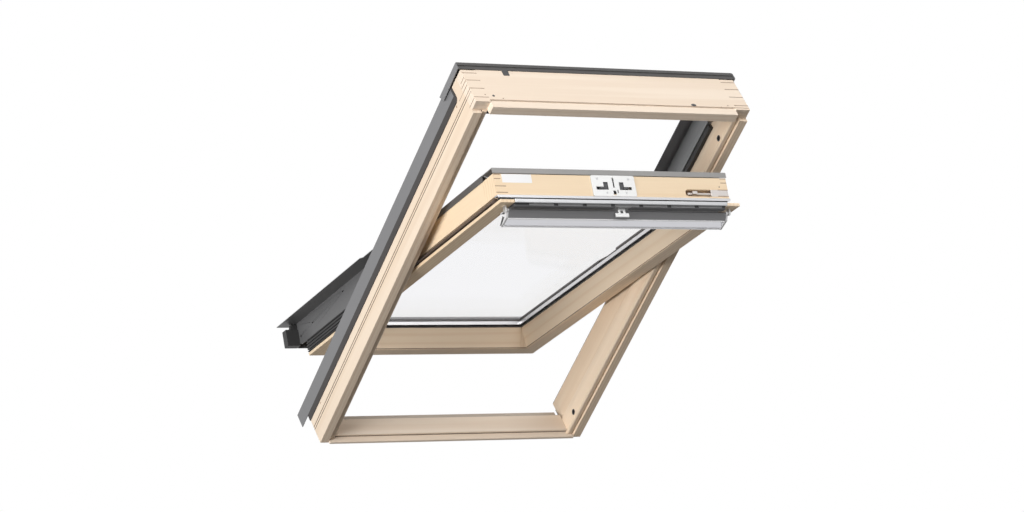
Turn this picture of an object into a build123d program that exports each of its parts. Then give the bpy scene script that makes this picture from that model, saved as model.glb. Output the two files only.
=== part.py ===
# Centre-pivot roof window, 78 x 118 size, pine, standing open in a 45 degree roof.
# The origin is the middle of the pivot axis, +Z is up, +Y points out through the roof
# and +X points right as seen from the room. Lengths are in millimetres.
from math import sqrt
import os

from build123d import *

os.makedirs("parts", exist_ok=True)

# Pose of the window as it is stored
ROOF_PITCH = 45.0
OPEN_ANGLE = 24.7

# Frame size; up the slope is minus, and levels are counted outwards from the pivot axis
FRAME_WIDTH = 780.0
FRAME_LENGTH = 1178.0
PIVOT_BELOW_MIDDLE = 16.0
PIVOT_DEPTH = 118.0
HALF_WIDTH = FRAME_WIDTH / 2
TOP_END = -FRAME_LENGTH / 2 - PIVOT_BELOW_MIDDLE
LOW_END = FRAME_LENGTH / 2 - PIVOT_BELOW_MIDDLE
ROOM = -PIVOT_DEPTH

# Frame side members
SIDE_WIDTH = 41.0
SIDE_HEIGHT = 112.0
LIP_WIDTH = 23.0
LIP_DROP = 10.5
SLOT_WIDTH = 4.0
SLOT_DEPTH = 8.0
TONGUE_DROP = 4.5
TONGUE_ROUND = 3.0
RECESS_DEPTH = 7.0
FOLD_HEIGHT = 39.0
FOLD_RISE = 14.0
GROOVE_HEIGHTS = (35.5, 43.5)
GROOVE_WIDTH = 2.2
GROOVE_DEPTH = 2.5
CORNER_LENGTH = 28.0
SIDE_INNER = HALF_WIDTH - SIDE_WIDTH
SIDE_TOP = ROOM + SIDE_HEIGHT
SIDE_START = TOP_END + CORNER_LENGTH
LIP_FACE = ROOM - LIP_DROP
SLOT_OUT = HALF_WIDTH - LIP_WIDTH
SLOT_IN = SLOT_OUT - SLOT_WIDTH
SLOT_BASE = ROOM + SLOT_DEPTH
TONGUE_FACE = ROOM - TONGUE_DROP
RECESS = SIDE_INNER + RECESS_DEPTH
FOLD_LOW = ROOM + FOLD_HEIGHT
FOLD_HIGH = FOLD_LOW + FOLD_RISE

# Frame top and bottom members
TOP_WIDTH = 79.0
TOP_RISE = 8.0
TOP_LIP_SETBACK = 3.0
TOP_LIP_WIDTH = 24.0
TOP_LIP_DROP = 16.0
TOP_STEP_HEIGHT = 6.0
SHOULDER_HEIGHT = 45.0
TOP_INNER = TOP_END + TOP_WIDTH
TOP_WOOD_TOP = SIDE_TOP + TOP_RISE
TOP_LIP_OUT = TOP_END + TOP_LIP_SETBACK
TOP_LIP_IN = TOP_LIP_OUT + TOP_LIP_WIDTH
TOP_LIP_FACE = ROOM - TOP_LIP_DROP
TOP_STEP = ROOM + TOP_STEP_HEIGHT
TOP_SHOULDER = ROOM + SHOULDER_HEIGHT
BOTTOM_WIDTH = 16.0
BOTTOM_SETBACK = 2.0
BOTTOM_HEIGHT = 56.0
BOTTOM_LIP_WIDTH = 7.0
BOTTOM_LIP_DROP = 16.0
BOTTOM_SLOT_WIDTH = 3.0
BOTTOM_SLOT_DEPTH = 10.0
BOTTOM_LIP_GAP = 1.0
LIP_SEAM = 0.5
BOTTOM_INNER = LOW_END - BOTTOM_WIDTH
BOTTOM_FOOT = ROOM + BOTTOM_SETBACK
BOTTOM_TOP = ROOM + BOTTOM_HEIGHT
BOTTOM_LIP_IN = LOW_END - BOTTOM_LIP_WIDTH
BOTTOM_LIP_FACE = ROOM - BOTTOM_LIP_DROP
BOTTOM_SLOT_IN = BOTTOM_LIP_IN - BOTTOM_SLOT_WIDTH
BOTTOM_SLOT_BASE = ROOM + BOTTOM_SLOT_DEPTH
BOTTOM_LIP_HALF = SLOT_OUT - BOTTOM_LIP_GAP
BOTTOM_LIP_TOP = TONGUE_FACE - LIP_SEAM

# Screw holes for the roof brackets, in the outer faces of the sides
FIXING_RADIUS = 3.0
UPPER_FIXING_DEPTH = 28.0
LOWER_FIXING_DEPTH = 22.0
FIXING_INSET = 74.0
FIXING_HEIGHT = 61.0
UPPER_FIXING = TOP_END + FIXING_INSET
LOWER_FIXING = LOW_END - FIXING_INSET
FIXING_LEVEL = ROOM + FIXING_HEIGHT

# Sash: half widths, ends and levels in its own plane, set off from the frame round it
LOCK_PLATE = 2.0
LOCK_GAP = 3.0
STRIKER_THICK = 3.0
SASH_SIDE_GAP = 18.0
SASH_FLANGE_GAP = 9.0
SASH_FLANGE_REACH = 26.0
SASH_LOW_GAP = 4.0
SASH_LEAN = 6.0
SASH_SETBACK = 28.0
SASH_FLANGE_THICK = 8.0
SASH_GROOVE_HEIGHT = 21.0
SASH_GROOVE_DEPTH = 9.0
SASH_BEND_DROP = 34.0
TOP_RAIL_GROOVE = 13.0
LEDGE_DROP = 32.0
SASH_SIDE_WIDTH = 53.0
TOP_RAIL_WIDTH = 56.0
BOTTOM_RAIL_WIDTH = 75.0
BEVEL_WIDTH = 19.0
LOW_BEVEL_WIDTH = 26.5
REBATE_WIDTH = 24.0
TOP_REBATE_WIDTH = 18.0
SASH_HALF = SIDE_INNER - SASH_SIDE_GAP
SASH_FLANGE_HALF = SIDE_INNER - SASH_FLANGE_GAP
SASH_TOP = TOP_INNER + STRIKER_THICK + LOCK_GAP + LOCK_PLATE
SASH_FLANGE_TOP = SASH_TOP - SASH_FLANGE_REACH
SASH_LOW = BOTTOM_INNER - SASH_LOW_GAP
SASH_LOW_ROOM = SASH_LOW - SASH_LEAN
SASH_ROOM = ROOM + SASH_SETBACK
SASH_WOOD_TOP = SIDE_TOP
SASH_FLANGE_LEVEL = SASH_ROOM + SASH_FLANGE_THICK
SASH_GROOVE_LEVEL = SASH_FLANGE_LEVEL + SASH_GROOVE_HEIGHT
SASH_GROOVE_IN = SASH_HALF - SASH_GROOVE_DEPTH
SASH_BEND_LEVEL = SASH_WOOD_TOP - SASH_BEND_DROP
TOP_RAIL_BACK = SASH_TOP + TOP_RAIL_GROOVE
GLASS_LEDGE = SASH_WOOD_TOP - LEDGE_DROP
DAYLIGHT_HALF = SASH_HALF - SASH_SIDE_WIDTH
DAYLIGHT_TOP = SASH_TOP + TOP_RAIL_WIDTH
DAYLIGHT_LOW = SASH_LOW - BOTTOM_RAIL_WIDTH
BEVEL_HALF = DAYLIGHT_HALF + BEVEL_WIDTH
BEVEL_LOW = DAYLIGHT_LOW + LOW_BEVEL_WIDTH
REBATE_HALF = DAYLIGHT_HALF + REBATE_WIDTH
REBATE_LOW = DAYLIGHT_LOW + REBATE_WIDTH
REBATE_TOP = DAYLIGHT_TOP - TOP_REBATE_WIDTH

# Glass unit
PANE_GAP = 2.0
PANE_THICK = 4.0
CAVITY = 12.0
SEAL_THICK = 2.0
SEAL_LIP = 2.0
SPACER_INSET = 8.0
SPACER_WIDTH = 20.0
PANE_HALF = REBATE_HALF - PANE_GAP
PANE_TOP = REBATE_TOP + PANE_GAP
PANE_LOW = REBATE_LOW - PANE_GAP
INNER_PANE_LEVEL = GLASS_LEDGE + SEAL_THICK
CAVITY_LEVEL = INNER_PANE_LEVEL + PANE_THICK
OUTER_PANE_LEVEL = CAVITY_LEVEL + CAVITY
GLASS_TOP = OUTER_PANE_LEVEL + PANE_THICK

# Metal covers of the frame
SHEET = 1.5
LEG_SHEET = 2.0
COVER_DROP = 25.0
COVER_RISE = 10.0
COVER_OVERLAP = 37.0
COVER_TOP_SETBACK = 5.0
LEG_START_INSET = 64.0
GUTTER_RIB = 10.0
CLEAR_OF_PIVOT = 97.0
COVER_TAIL = 45.0
COVER_OUT = HALF_WIDTH + LEG_SHEET
COVER_FOOT = SIDE_TOP - COVER_DROP
COVER_TOP = TOP_WOOD_TOP + COVER_RISE
COVER_OVERLAP_HALF = SIDE_INNER - COVER_OVERLAP
COVER_OVERLAP_TOP = TOP_END + COVER_TOP_SETBACK
LEG_START = TOP_END + LEG_START_INSET
GUTTER = HALF_WIDTH - GUTTER_RIB
COVER_LOW_END = LOW_END + COVER_TAIL
HOOD_OVERHANG = 4.0
HOOD_DEPTH = 100.0
HOOD_DROP = 17.0
HOOD_SIDE_GAP = 5.0
HOOD_END_DROP = 3.0
HOOD_END_REACH = 8.0
HOOD_LIP_RISE = 2.0
HOOD_LIP_DROP = 8.0
HOOD_TOP = COVER_TOP + LEG_SHEET
HOOD_LIP_TOP = HOOD_TOP + HOOD_LIP_RISE
HOOD_LIP_FOOT = HOOD_TOP - HOOD_LIP_DROP
HOOD_OUT = TOP_END - HOOD_OVERHANG
HOOD_IN = TOP_END + HOOD_DEPTH
HOOD_FOOT = COVER_TOP - HOOD_DROP
HOOD_HALF = HALF_WIDTH + HOOD_SIDE_GAP
HOOD_END_FOOT = HOOD_FOOT - HOOD_END_DROP
HOOD_END_IN = HOOD_IN + HOOD_END_REACH
CLIP_INSET = 114.0
CLIP_WIDTH = 16.0
CLIP_DROP = 17.0
CLIP_FROM = CLIP_INSET - HALF_WIDTH
CLIP_FOOT = HOOD_FOOT - CLIP_DROP
BAND_WIDTH = 20.0
BAND_THICK = 2.6
BAND_WRAP = 7.0
BAND_WRAP_DROP = 4.0
BAND_ROUND = 12.0
BAND_FOOT = COVER_FOOT - BAND_WIDTH
BAND_START = LEG_START - BAND_WRAP
BAND_HEAD = COVER_TOP - BAND_WRAP_DROP
SILL_SETBACK = 2.0
SILL_LEG_HEIGHT = 12.0
SILL_LEG_INSET = 13.0
SILL_DRIP = 18.0
SILL_LEG = BOTTOM_INNER + SILL_SETBACK
SILL_LEG_TOP = BOTTOM_TOP + SILL_LEG_HEIGHT
SILL_LEG_HALF = SIDE_INNER - SILL_LEG_INSET
SILL_END = LOW_END + LEG_SHEET

# Metal covers of the sash
COVER_GLASS_INSET = 1.0
COVER_LIP = 5.0
UPPER_RISE = 14.5
UPPER_FOOT_RISE = 1.0
UPPER_SPLIT = 50.0
TOP_COVER_INSET = 7.0
LOWER_RISE = 6.5
LOWER_START = 42.0
PLATE_GAP = 7.0
PLATE_DROP = 41.0
PLATE_REACH = 46.0
PLATE_ROUND = 28.0
PLATE_SLOT_LENGTH = 9.0
PLATE_SLOT_WIDTH = 3.5
PLATE_SLOT_SHARES = ((0.472, 0.774), (0.815, 0.516), (0.956, 0.355))
FLANGE_INSET = 5.0
FLANGE_RIB_GAP = 1.0
BOTTOM_COVER_INSET = 4.0
BOTTOM_SLOPE = 58.0
BOTTOM_COVER_REACH = 53.0
CAP_LENGTH = 22.0
CAP_DROP = 2.0
CAP_HEAD_DROP = 19.0
CAP_INSET = 8.0
COVER_INNER = DAYLIGHT_HALF + COVER_GLASS_INSET
LIP_LEVEL = GLASS_TOP + COVER_LIP
UPPER_TOP = SASH_WOOD_TOP + UPPER_RISE
UPPER_FOOT = SASH_WOOD_TOP + UPPER_FOOT_RISE
UPPER_START = -UPPER_SPLIT
TOP_COVER_BACK = DAYLIGHT_TOP - TOP_COVER_INSET
LOWER_TOP = UPPER_TOP + LOWER_RISE
PLATE_IN = SASH_HALF + PLATE_GAP
PLATE_OUT = PLATE_IN + LEG_SHEET
PLATE_FOOT = SASH_WOOD_TOP - PLATE_DROP
PLATE_END = SASH_LOW + PLATE_REACH
FLANGE_HALF = HALF_WIDTH - FLANGE_INSET
FLANGE_NECK = GUTTER - FLANGE_RIB_GAP
BOTTOM_COVER_IN = DAYLIGHT_LOW + BOTTOM_COVER_INSET
BOTTOM_SLOPE_END = BOTTOM_COVER_IN + BOTTOM_SLOPE
BOTTOM_COVER_LOW = SASH_LOW + BOTTOM_COVER_REACH
CAP_BACK = BOTTOM_COVER_LOW - CAP_LENGTH
CAP_FOOT = PLATE_FOOT - CAP_DROP
CAP_HEAD = LOWER_TOP - CAP_HEAD_DROP
CAP_OUT = FLANGE_HALF - CAP_INSET

# Pivot hinges
PIN_RADIUS = 5.0
PIN_CLEARANCE = 0.05
PIN_END_GAP = 0.4
BOSS_RADIUS = 9.0
BOSS_GAP = 0.5
EAR_RADIUS = 14.0
FRAME_HINGE_THICK = 10.0
FRAME_HINGE_HALF = 32.0
FRAME_HINGE_SEAT = 17.0
FRAME_HINGE_RISE = 11.0
FRAME_HINGE_CHAMFER = 8.0
SASH_HINGE_THICK = 5.0
SASH_HINGE_HALF = 45.0
SASH_HINGE_SEAT = 3.0
SCREW_RADIUS = 4.0
SCREW_HEAD = 1.2
SCREW_SPACING = 64.0
SCREW_RISE = 20.0
FRAME_HINGE_IN = RECESS - FRAME_HINGE_THICK
FRAME_HINGE_FOOT = FOLD_HIGH + FRAME_HINGE_SEAT
SASH_HINGE_FOOT = SASH_GROOVE_LEVEL + SASH_HINGE_SEAT
SCREW_LEVEL = SASH_HINGE_FOOT + SCREW_RISE
SASH_HINGE_FACE = SASH_HALF + SASH_HINGE_THICK
BOSS_END = SASH_HINGE_FACE + BOSS_GAP
PIN_END = SASH_HALF + PIN_END_GAP

# Lock in the upper edge of the sash
LOCK_HALF = 62.0
LOCK_FOOT_GAP = 1.0
LOCK_HEAD_GAP = 0.5
LOCK_CORNER = 4.0
POCKET_SIDE_WALL = 7.0
POCKET_FOOT_WALL = 6.0
POCKET_HEAD_WALL = 4.5
POCKET_DEPTH = 22.0
LATCH_GAP = 1.0
LATCH_THICK = 4.0
LATCH_SIDE_GAP = 13.0
LATCH_FOOT_GAP = 6.0
LATCH_HEAD_GAP = 7.0
HOOK_SPACING = 66.0
HOOK_OPENING = 34.0
HOOK_OPENING_HEIGHT = 8.0
HOOK_DROP = 33.5
HOOK_WIDTH = 14.0
HOOK_HEIGHT = 5.0
HOOK_REACH = 3.0
LEVER_SPACING = 45.0
LEVER_OPENING = 13.0
LEVER_OPENING_HEIGHT = 20.0
LEVER_DROP = 27.5
KEY_SLOT_WIDTH = 4.0
KEY_SLOT_LENGTH = 26.0
KEY_SLOT_DROP = 18.5
KEY_HOLE_WIDTH = 8.0
KEY_HOLE_HEIGHT = 12.0
KEY_HOLE_RISE = 9.0
LOCK_SCREW_RADIUS = 2.6
LOCK_SCREW_SHARES = ((-0.71, 0.826), (0.71, 0.826), (-0.355, 0.165), (0.532, 0.165))
STRIKER_INSET = 14.0
STRIKER_FOOT_GAP = 4.0
LOCK_FOOT = SASH_GROOVE_LEVEL + LOCK_FOOT_GAP
LOCK_HEAD = SASH_WOOD_TOP + LOCK_HEAD_GAP
LOCK_HEIGHT = LOCK_HEAD - LOCK_FOOT
POCKET_HALF = LOCK_HALF - POCKET_SIDE_WALL
POCKET_FOOT = LOCK_FOOT + POCKET_FOOT_WALL
POCKET_HEAD = LOCK_HEAD - POCKET_HEAD_WALL
LATCH_HALF = POCKET_HALF - LATCH_SIDE_GAP
LATCH_FOOT = POCKET_FOOT + LATCH_FOOT_GAP
LATCH_HEAD = POCKET_HEAD - LATCH_HEAD_GAP
HOOK_LEVEL = LOCK_HEAD - HOOK_DROP
LEVER_LEVEL = LOCK_HEAD - LEVER_DROP
KEY_SLOT_LEVEL = LOCK_HEAD - KEY_SLOT_DROP
KEY_HOLE_LEVEL = LOCK_FOOT + KEY_HOLE_RISE
STRIKER_HALF = LOCK_HALF - STRIKER_INSET
STRIKER_FOOT = LOCK_FOOT + STRIKER_FOOT_GAP
STRIKER_HEAD = POCKET_HEAD

# Barrel bolt in the upper edge of the sash
BOLT_RADIUS = 4.5
BOLT_CLEARANCE = 0.05
BOLT_SETBACK = 9.0
BOLT_RISE = 14.5
BOLT_LENGTH = 115.0
BOLT_END_GAP = 2.0
CHANNEL_LEAD = 9.0
CHANNEL_HEIGHT = 18.0
CHANNEL_DEPTH = 18.0
HOUSING_LENGTH = 50.5
HOUSING_END_GAP = 0.5
KNOB_LEAD = 10.0
KNOB_LENGTH = 14.0
KNOB_RADIUS = 6.0
GRIP_WIDTH = 7.0
GRIP_REACH = 3.0
BUSH_RADIUS = 8.0
BUSH_HOLE = 5.5
BUSH_LENGTH = 13.0
BUSH_CLEARANCE = 0.1
CLOSED_HOLE = 7.0
VENT_HEIGHT = 9.815
CLEANING_HEIGHT = 13.651
BOLT_ALONG = SASH_TOP + BOLT_SETBACK
BOLT_LEVEL = SASH_GROOVE_LEVEL + BOLT_RISE
BOLT_END = SASH_HALF - BOLT_END_GAP
BOLT_START = BOLT_END - BOLT_LENGTH
CHANNEL_START = BOLT_START - CHANNEL_LEAD
HOUSING_END = SASH_HALF - HOUSING_END_GAP
HOUSING_START = HOUSING_END - HOUSING_LENGTH
KNOB_START = BOLT_START + KNOB_LEAD
GRIP_END = SASH_TOP - GRIP_REACH

# Seals
LINER_REACH = 7.0
LINER_GAP = 1.0
LINER_TOP_DROP = 10.0
SIDE_SEAL_REACH = 4.0
SIDE_SEAL_SEAT = 0.5
SIDE_SEAL_HEIGHT = 12.5
SEAL_CLEAR_OF_BOLT = 14.0
TOP_SEAL_THICK = 5.0
TOP_SEAL_WIDTH = 26.0
TOP_SEAL_SETBACK = 4.0
UPPER_GASKET_REACH = 13.0
GASKET_FOOT_GAP = 3.0
GASKET_HEAD_GAP = 4.0
UPPER_GASKET_SPLIT = 10.0
LOWER_GASKET_REACH = 10.0
LOWER_GASKET_START = 60.0
LOWER_GASKET_SETBACK = 5.0
LOWER_GASKET_GAP = 2.0
LOWER_GASKET_HEAD_GAP = 1.0
RIB_COUNT = 4
RIB_GAP = 3.0
RIB_DEPTH = 4.0
TOP_GASKET_REACH = 2.0
LINER_IN = SIDE_INNER - LINER_REACH
SIDE_SEAL_IN = SIDE_INNER - SIDE_SEAL_REACH
SIDE_SEAL_FOOT = FOLD_HIGH + SIDE_SEAL_SEAT
SIDE_SEAL_TOP = SIDE_SEAL_FOOT + SIDE_SEAL_HEIGHT
SIDE_SEAL_END = BOLT_ALONG + SEAL_CLEAR_OF_BOLT
LINER_FOOT = SIDE_SEAL_TOP + LINER_GAP
LINER_TOP = COVER_TOP - LINER_TOP_DROP
TOP_SEAL_FACE = TOP_SHOULDER - TOP_SEAL_THICK
TOP_SEAL_IN = TOP_INNER - TOP_SEAL_SETBACK
TOP_SEAL_OUT = TOP_SEAL_IN - TOP_SEAL_WIDTH
UPPER_GASKET_TIP = SASH_HALF + UPPER_GASKET_REACH
UPPER_GASKET_FOOT = SASH_FLANGE_LEVEL + GASKET_FOOT_GAP
UPPER_GASKET_TOP = SASH_GROOVE_LEVEL - GASKET_HEAD_GAP
UPPER_GASKET_END = -UPPER_GASKET_SPLIT
LOWER_GASKET_TIP = SASH_HALF + LOWER_GASKET_REACH
LOWER_GASKET_END = SASH_LOW - LOWER_GASKET_SETBACK
LOWER_GASKET_FOOT = SASH_FLANGE_LEVEL + LOWER_GASKET_GAP
LOWER_GASKET_TOP = PLATE_FOOT - LOWER_GASKET_HEAD_GAP
RIB_SPACING = (LOWER_GASKET_TOP - LOWER_GASKET_FOOT) / RIB_COUNT
TOP_GASKET_OUT = SASH_TOP - TOP_GASKET_REACH

# Ventilation rail and grille
RAIL_INSET = 30.0
RAIL_LEAD = 3.0
RAIL_LIP = 6.0
RAIL_LIP_RISE = 1.0
RAIL_WEB = 3.0
RAIL_WEB_REACH = 15.0
GRILLE_END_GAP = 2.0
GRILLE_SETBACK = 3.0
GRILLE_THICK = 17.0
GRILLE_DROP = 7.0
CELL_WIDTH = 70.0
CELL_HEIGHT = 7.0
CELL_DEPTH = 12.0
CELL_SPACING = 80.0
CELL_SHIFT = 16.0
RAIL_HALF = SASH_HALF - RAIL_INSET
RAIL_TOP = SASH_FLANGE_TOP - RAIL_LEAD
RAIL_LIP_IN = RAIL_TOP + RAIL_LIP
RAIL_LIP_HEAD = SASH_FLANGE_LEVEL + RAIL_LIP_RISE
RAIL_BACK = TOP_RAIL_BACK + RAIL_WEB_REACH
GRILLE_HALF = RAIL_HALF - GRILLE_END_GAP
GRILLE_FACE = RAIL_LIP_IN + GRILLE_SETBACK
GRILLE_BACK = GRILLE_FACE + GRILLE_THICK
GRILLE_FOOT = SASH_ROOM - GRILLE_DROP
CELL_COUNT = int(2 * (GRILLE_HALF - CELL_SHIFT) / CELL_SPACING)

# Control bar, which hangs on two brackets below the grille
AXIS_LEAD = 3.0
AXIS_DROP = 11.0
BARREL_RADIUS = 2.5
BAR_INSET = 31.0
CAP_THICK = 5.0
BAR_REACH = 43.0
BAR_DROP = 28.0
FLAP_FRONT_SHARE = (0.163, 0.589)
FLAP_STEP_SHARE = (0.372, 0.411)
FLAP_BACK_SHARE = (0.5, 0.161)
TIP_FRONT_SHARE = (0.814, 0.946)
TIP_SHARE = (0.93, 1.0)
TIP_BACK_SHARE = (1.0, 0.821)
BAR_PIN_RADIUS = 2.0
BAR_PIN_CLEARANCE = 0.05
BAR_PIN_LENGTH = 5.5
BRACKET_GAP = 2.0
BRACKET_THICK = 4.0
BRACKET_HALF = 6.0
COUPLING_START = -15.0
COUPLING_WIDTH = 38.0
COUPLING_BASE = 9.0
COUPLING_THICK = 4.0
COUPLING_TOP = 7.0
COUPLING_FOOT = 15.0
LOOP_WIDTH = 20.0
LOOP_WALL = 6.0
NOTCH_GAP = 5.0
AXIS_ALONG = SASH_TOP - AXIS_LEAD
AXIS_LEVEL = SASH_ROOM - AXIS_DROP
BAR_HALF = SASH_FLANGE_HALF - BAR_INSET

# Working planes: one lies in the frame's plane, one in the open sash's plane
ROOF = Plane.XY.rotated((-ROOF_PITCH, 0, 0))
SASH = Plane.XY.rotated((OPEN_ANGLE - ROOF_PITCH, 0, 0))


def across(base, y):
    """Section plane across the slope: sketch x runs right, sketch y outwards, extrudes uphill."""
    return Plane(base.from_local_coords((0, y, 0)), x_dir=base.x_dir, z_dir=-base.y_dir)


def beside(base, x):
    """Section plane along the slope: sketch x runs downhill, sketch y outwards, extrudes right."""
    return Plane(base.from_local_coords((x, 0, 0)), x_dir=base.y_dir, z_dir=base.x_dir)


def bolt_place(height, way):
    """Where the turning bolt passes a height above the room face, up (-1) or down (1) the slope."""
    level = ROOM + height
    along = sqrt(BOLT_ALONG**2 + BOLT_LEVEL**2 - level**2)
    return (way * along, level)


def save(part, name):
    """Label a finished piece and write its file."""
    part.label = name
    export_step(part, "parts/" + name + ".step")


def bar_point(share):
    """Corner of the control bar's section, as shares of its reach and its drop."""
    return (AXIS_ALONG + share[0] * BAR_REACH, AXIS_LEVEL - share[1] * BAR_DROP)


VENT_PLACE = bolt_place(VENT_HEIGHT, -1)
CLOSED_PLACE = (BOLT_ALONG, BOLT_LEVEL)
CLEANING_PLACE = bolt_place(CLEANING_HEIGHT, 1)
FLAP_FRONT = bar_point(FLAP_FRONT_SHARE)
FLAP_STEP = bar_point(FLAP_STEP_SHARE)
FLAP_BACK = bar_point(FLAP_BACK_SHARE)
BAR_TIP_FRONT = bar_point(TIP_FRONT_SHARE)
BAR_TIP = bar_point(TIP_SHARE)
BAR_TIP_BACK = bar_point(TIP_BACK_SHARE)

# Left frame member: lip, lining slot and tongue on the room side, recess for the sash above
with BuildPart() as frame_left_member:
    with BuildSketch(across(ROOF, LOW_END)):
        Polygon(
            (-HALF_WIDTH, LIP_FACE),
            (-SLOT_OUT, LIP_FACE),
            (-SLOT_OUT, SLOT_BASE),
            (-SLOT_IN, SLOT_BASE),
            (-SLOT_IN, TONGUE_FACE),
            (-SIDE_INNER - TONGUE_ROUND, TONGUE_FACE),
            (-SIDE_INNER, TONGUE_FACE + TONGUE_ROUND),
            (-SIDE_INNER, FOLD_LOW),
            (-RECESS, FOLD_HIGH),
            (-RECESS, SIDE_TOP),
            (-HALF_WIDTH, SIDE_TOP),
            align=None,
        )
        with Locations(*[(-HALF_WIDTH, ROOM + height) for height in GROOVE_HEIGHTS]):
            Rectangle(2 * GROOVE_DEPTH, GROOVE_WIDTH, mode=Mode.SUBTRACT)
    extrude(amount=LOW_END - SIDE_START)
    # bracket screw holes in the outer face, a long screw above and a short one below
    with BuildSketch(beside(ROOF, -HALF_WIDTH)):
        with Locations((UPPER_FIXING, FIXING_LEVEL)):
            Circle(FIXING_RADIUS)
    extrude(amount=UPPER_FIXING_DEPTH, mode=Mode.SUBTRACT)
    with BuildSketch(beside(ROOF, -HALF_WIDTH)):
        with Locations((LOWER_FIXING, FIXING_LEVEL)):
            Circle(FIXING_RADIUS)
    extrude(amount=LOWER_FIXING_DEPTH, mode=Mode.SUBTRACT)
save(frame_left_member.part, "frame_left_member")

# Right frame member: the mirrored section, with the bolt's holes in its inner face
with BuildPart() as frame_right_member:
    mirror(frame_left_member.part, about=Plane.YZ)
    with BuildSketch(beside(ROOF, SIDE_INNER)):
        with Locations(VENT_PLACE, CLEANING_PLACE):
            Circle(BUSH_RADIUS + BUSH_CLEARANCE)
        with Locations(CLOSED_PLACE):
            Circle(CLOSED_HOLE)
    extrude(amount=BUSH_LENGTH, mode=Mode.SUBTRACT)
save(frame_right_member.part, "frame_right_member")

# Top frame member: a lip towards the room and a shoulder for the sash to shut against
with BuildPart() as frame_top_member:
    with BuildSketch(beside(ROOF, -SIDE_INNER)):
        Polygon(
            (TOP_END, TOP_WOOD_TOP),
            (TOP_END, TOP_STEP),
            (TOP_LIP_OUT, TOP_STEP),
            (TOP_LIP_OUT, TOP_LIP_FACE),
            (TOP_LIP_IN, TOP_LIP_FACE),
            (TOP_LIP_IN, TOP_SHOULDER),
            (TOP_INNER, TOP_SHOULDER),
            (TOP_INNER, TOP_WOOD_TOP),
            align=None,
        )
    extrude(amount=2 * SIDE_INNER)
    # both ends reach over the side members and close their lining slots
    with BuildSketch(ROOF.offset(ROOM)):
        with Locations((0, TOP_END + CORNER_LENGTH / 2)):
            with GridLocations(SIDE_INNER + HALF_WIDTH, 0, 2, 1):
                Rectangle(SIDE_WIDTH, CORNER_LENGTH)
    extrude(amount=SIDE_TOP - ROOM)
save(frame_top_member.part, "frame_top_member")

# Bottom frame member: its lip reaches a little under both sides
with BuildPart() as frame_bottom_member:
    with BuildSketch(beside(ROOF, -SIDE_INNER)):
        Polygon(
            (BOTTOM_INNER, BOTTOM_FOOT),
            (BOTTOM_INNER, BOTTOM_TOP),
            (LOW_END, BOTTOM_TOP),
            (LOW_END, BOTTOM_LIP_FACE),
            (BOTTOM_LIP_IN, BOTTOM_LIP_FACE),
            (BOTTOM_LIP_IN, BOTTOM_SLOT_BASE),
            (BOTTOM_SLOT_IN, BOTTOM_SLOT_BASE),
            (BOTTOM_SLOT_IN, BOTTOM_FOOT),
            align=None,
        )
    extrude(amount=2 * SIDE_INNER)
    with BuildSketch(beside(ROOF, -BOTTOM_LIP_HALF)):
        Polygon(
            (BOTTOM_LIP_IN, BOTTOM_LIP_FACE),
            (LOW_END, BOTTOM_LIP_FACE),
            (LOW_END, BOTTOM_LIP_TOP),
            (BOTTOM_LIP_IN, BOTTOM_LIP_TOP),
            align=None,
        )
    extrude(amount=2 * BOTTOM_LIP_HALF)
save(frame_bottom_member.part, "frame_bottom_member")

# Right side cover of the frame: a gutter below, a flat sheet over the sash's edge above
with BuildPart() as frame_right_cover:
    with BuildSketch(across(ROOF, LOW_END)):
        Polygon(
            (HALF_WIDTH, COVER_FOOT),
            (COVER_OUT, COVER_FOOT),
            (COVER_OUT, COVER_TOP),
            (GUTTER, COVER_TOP),
            (GUTTER, SIDE_TOP + SHEET),
            (RECESS, SIDE_TOP + SHEET),
            (RECESS, SIDE_TOP),
            (GUTTER + SHEET, SIDE_TOP),
            (GUTTER + SHEET, COVER_TOP - SHEET),
            (HALF_WIDTH, COVER_TOP - SHEET),
            align=None,
        )
    extrude(amount=LOW_END + CLEAR_OF_PIVOT)
    with BuildSketch(beside(ROOF, HALF_WIDTH)):
        Polygon(
            (LEG_START, COVER_FOOT),
            (-CLEAR_OF_PIVOT, COVER_FOOT),
            (-CLEAR_OF_PIVOT, COVER_TOP),
            (LEG_START, COVER_TOP),
            align=None,
        )
        Polygon(
            (LOW_END, COVER_FOOT),
            (COVER_LOW_END, COVER_FOOT),
            (COVER_LOW_END, COVER_TOP),
            (LOW_END, COVER_TOP),
            align=None,
        )
    extrude(amount=LEG_SHEET)
    with BuildSketch(ROOF.offset(COVER_TOP - SHEET)):
        Polygon(
            (COVER_OVERLAP_HALF, COVER_OVERLAP_TOP),
            (COVER_OUT, COVER_OVERLAP_TOP),
            (COVER_OUT, -CLEAR_OF_PIVOT),
            (COVER_OVERLAP_HALF, -CLEAR_OF_PIVOT),
            align=None,
        )
    extrude(amount=SHEET)
save(frame_right_cover.part, "frame_right_cover")

with BuildPart() as frame_left_cover:
    mirror(frame_right_cover.part, about=Plane.YZ)
save(frame_left_cover.part, "frame_left_cover")

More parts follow.
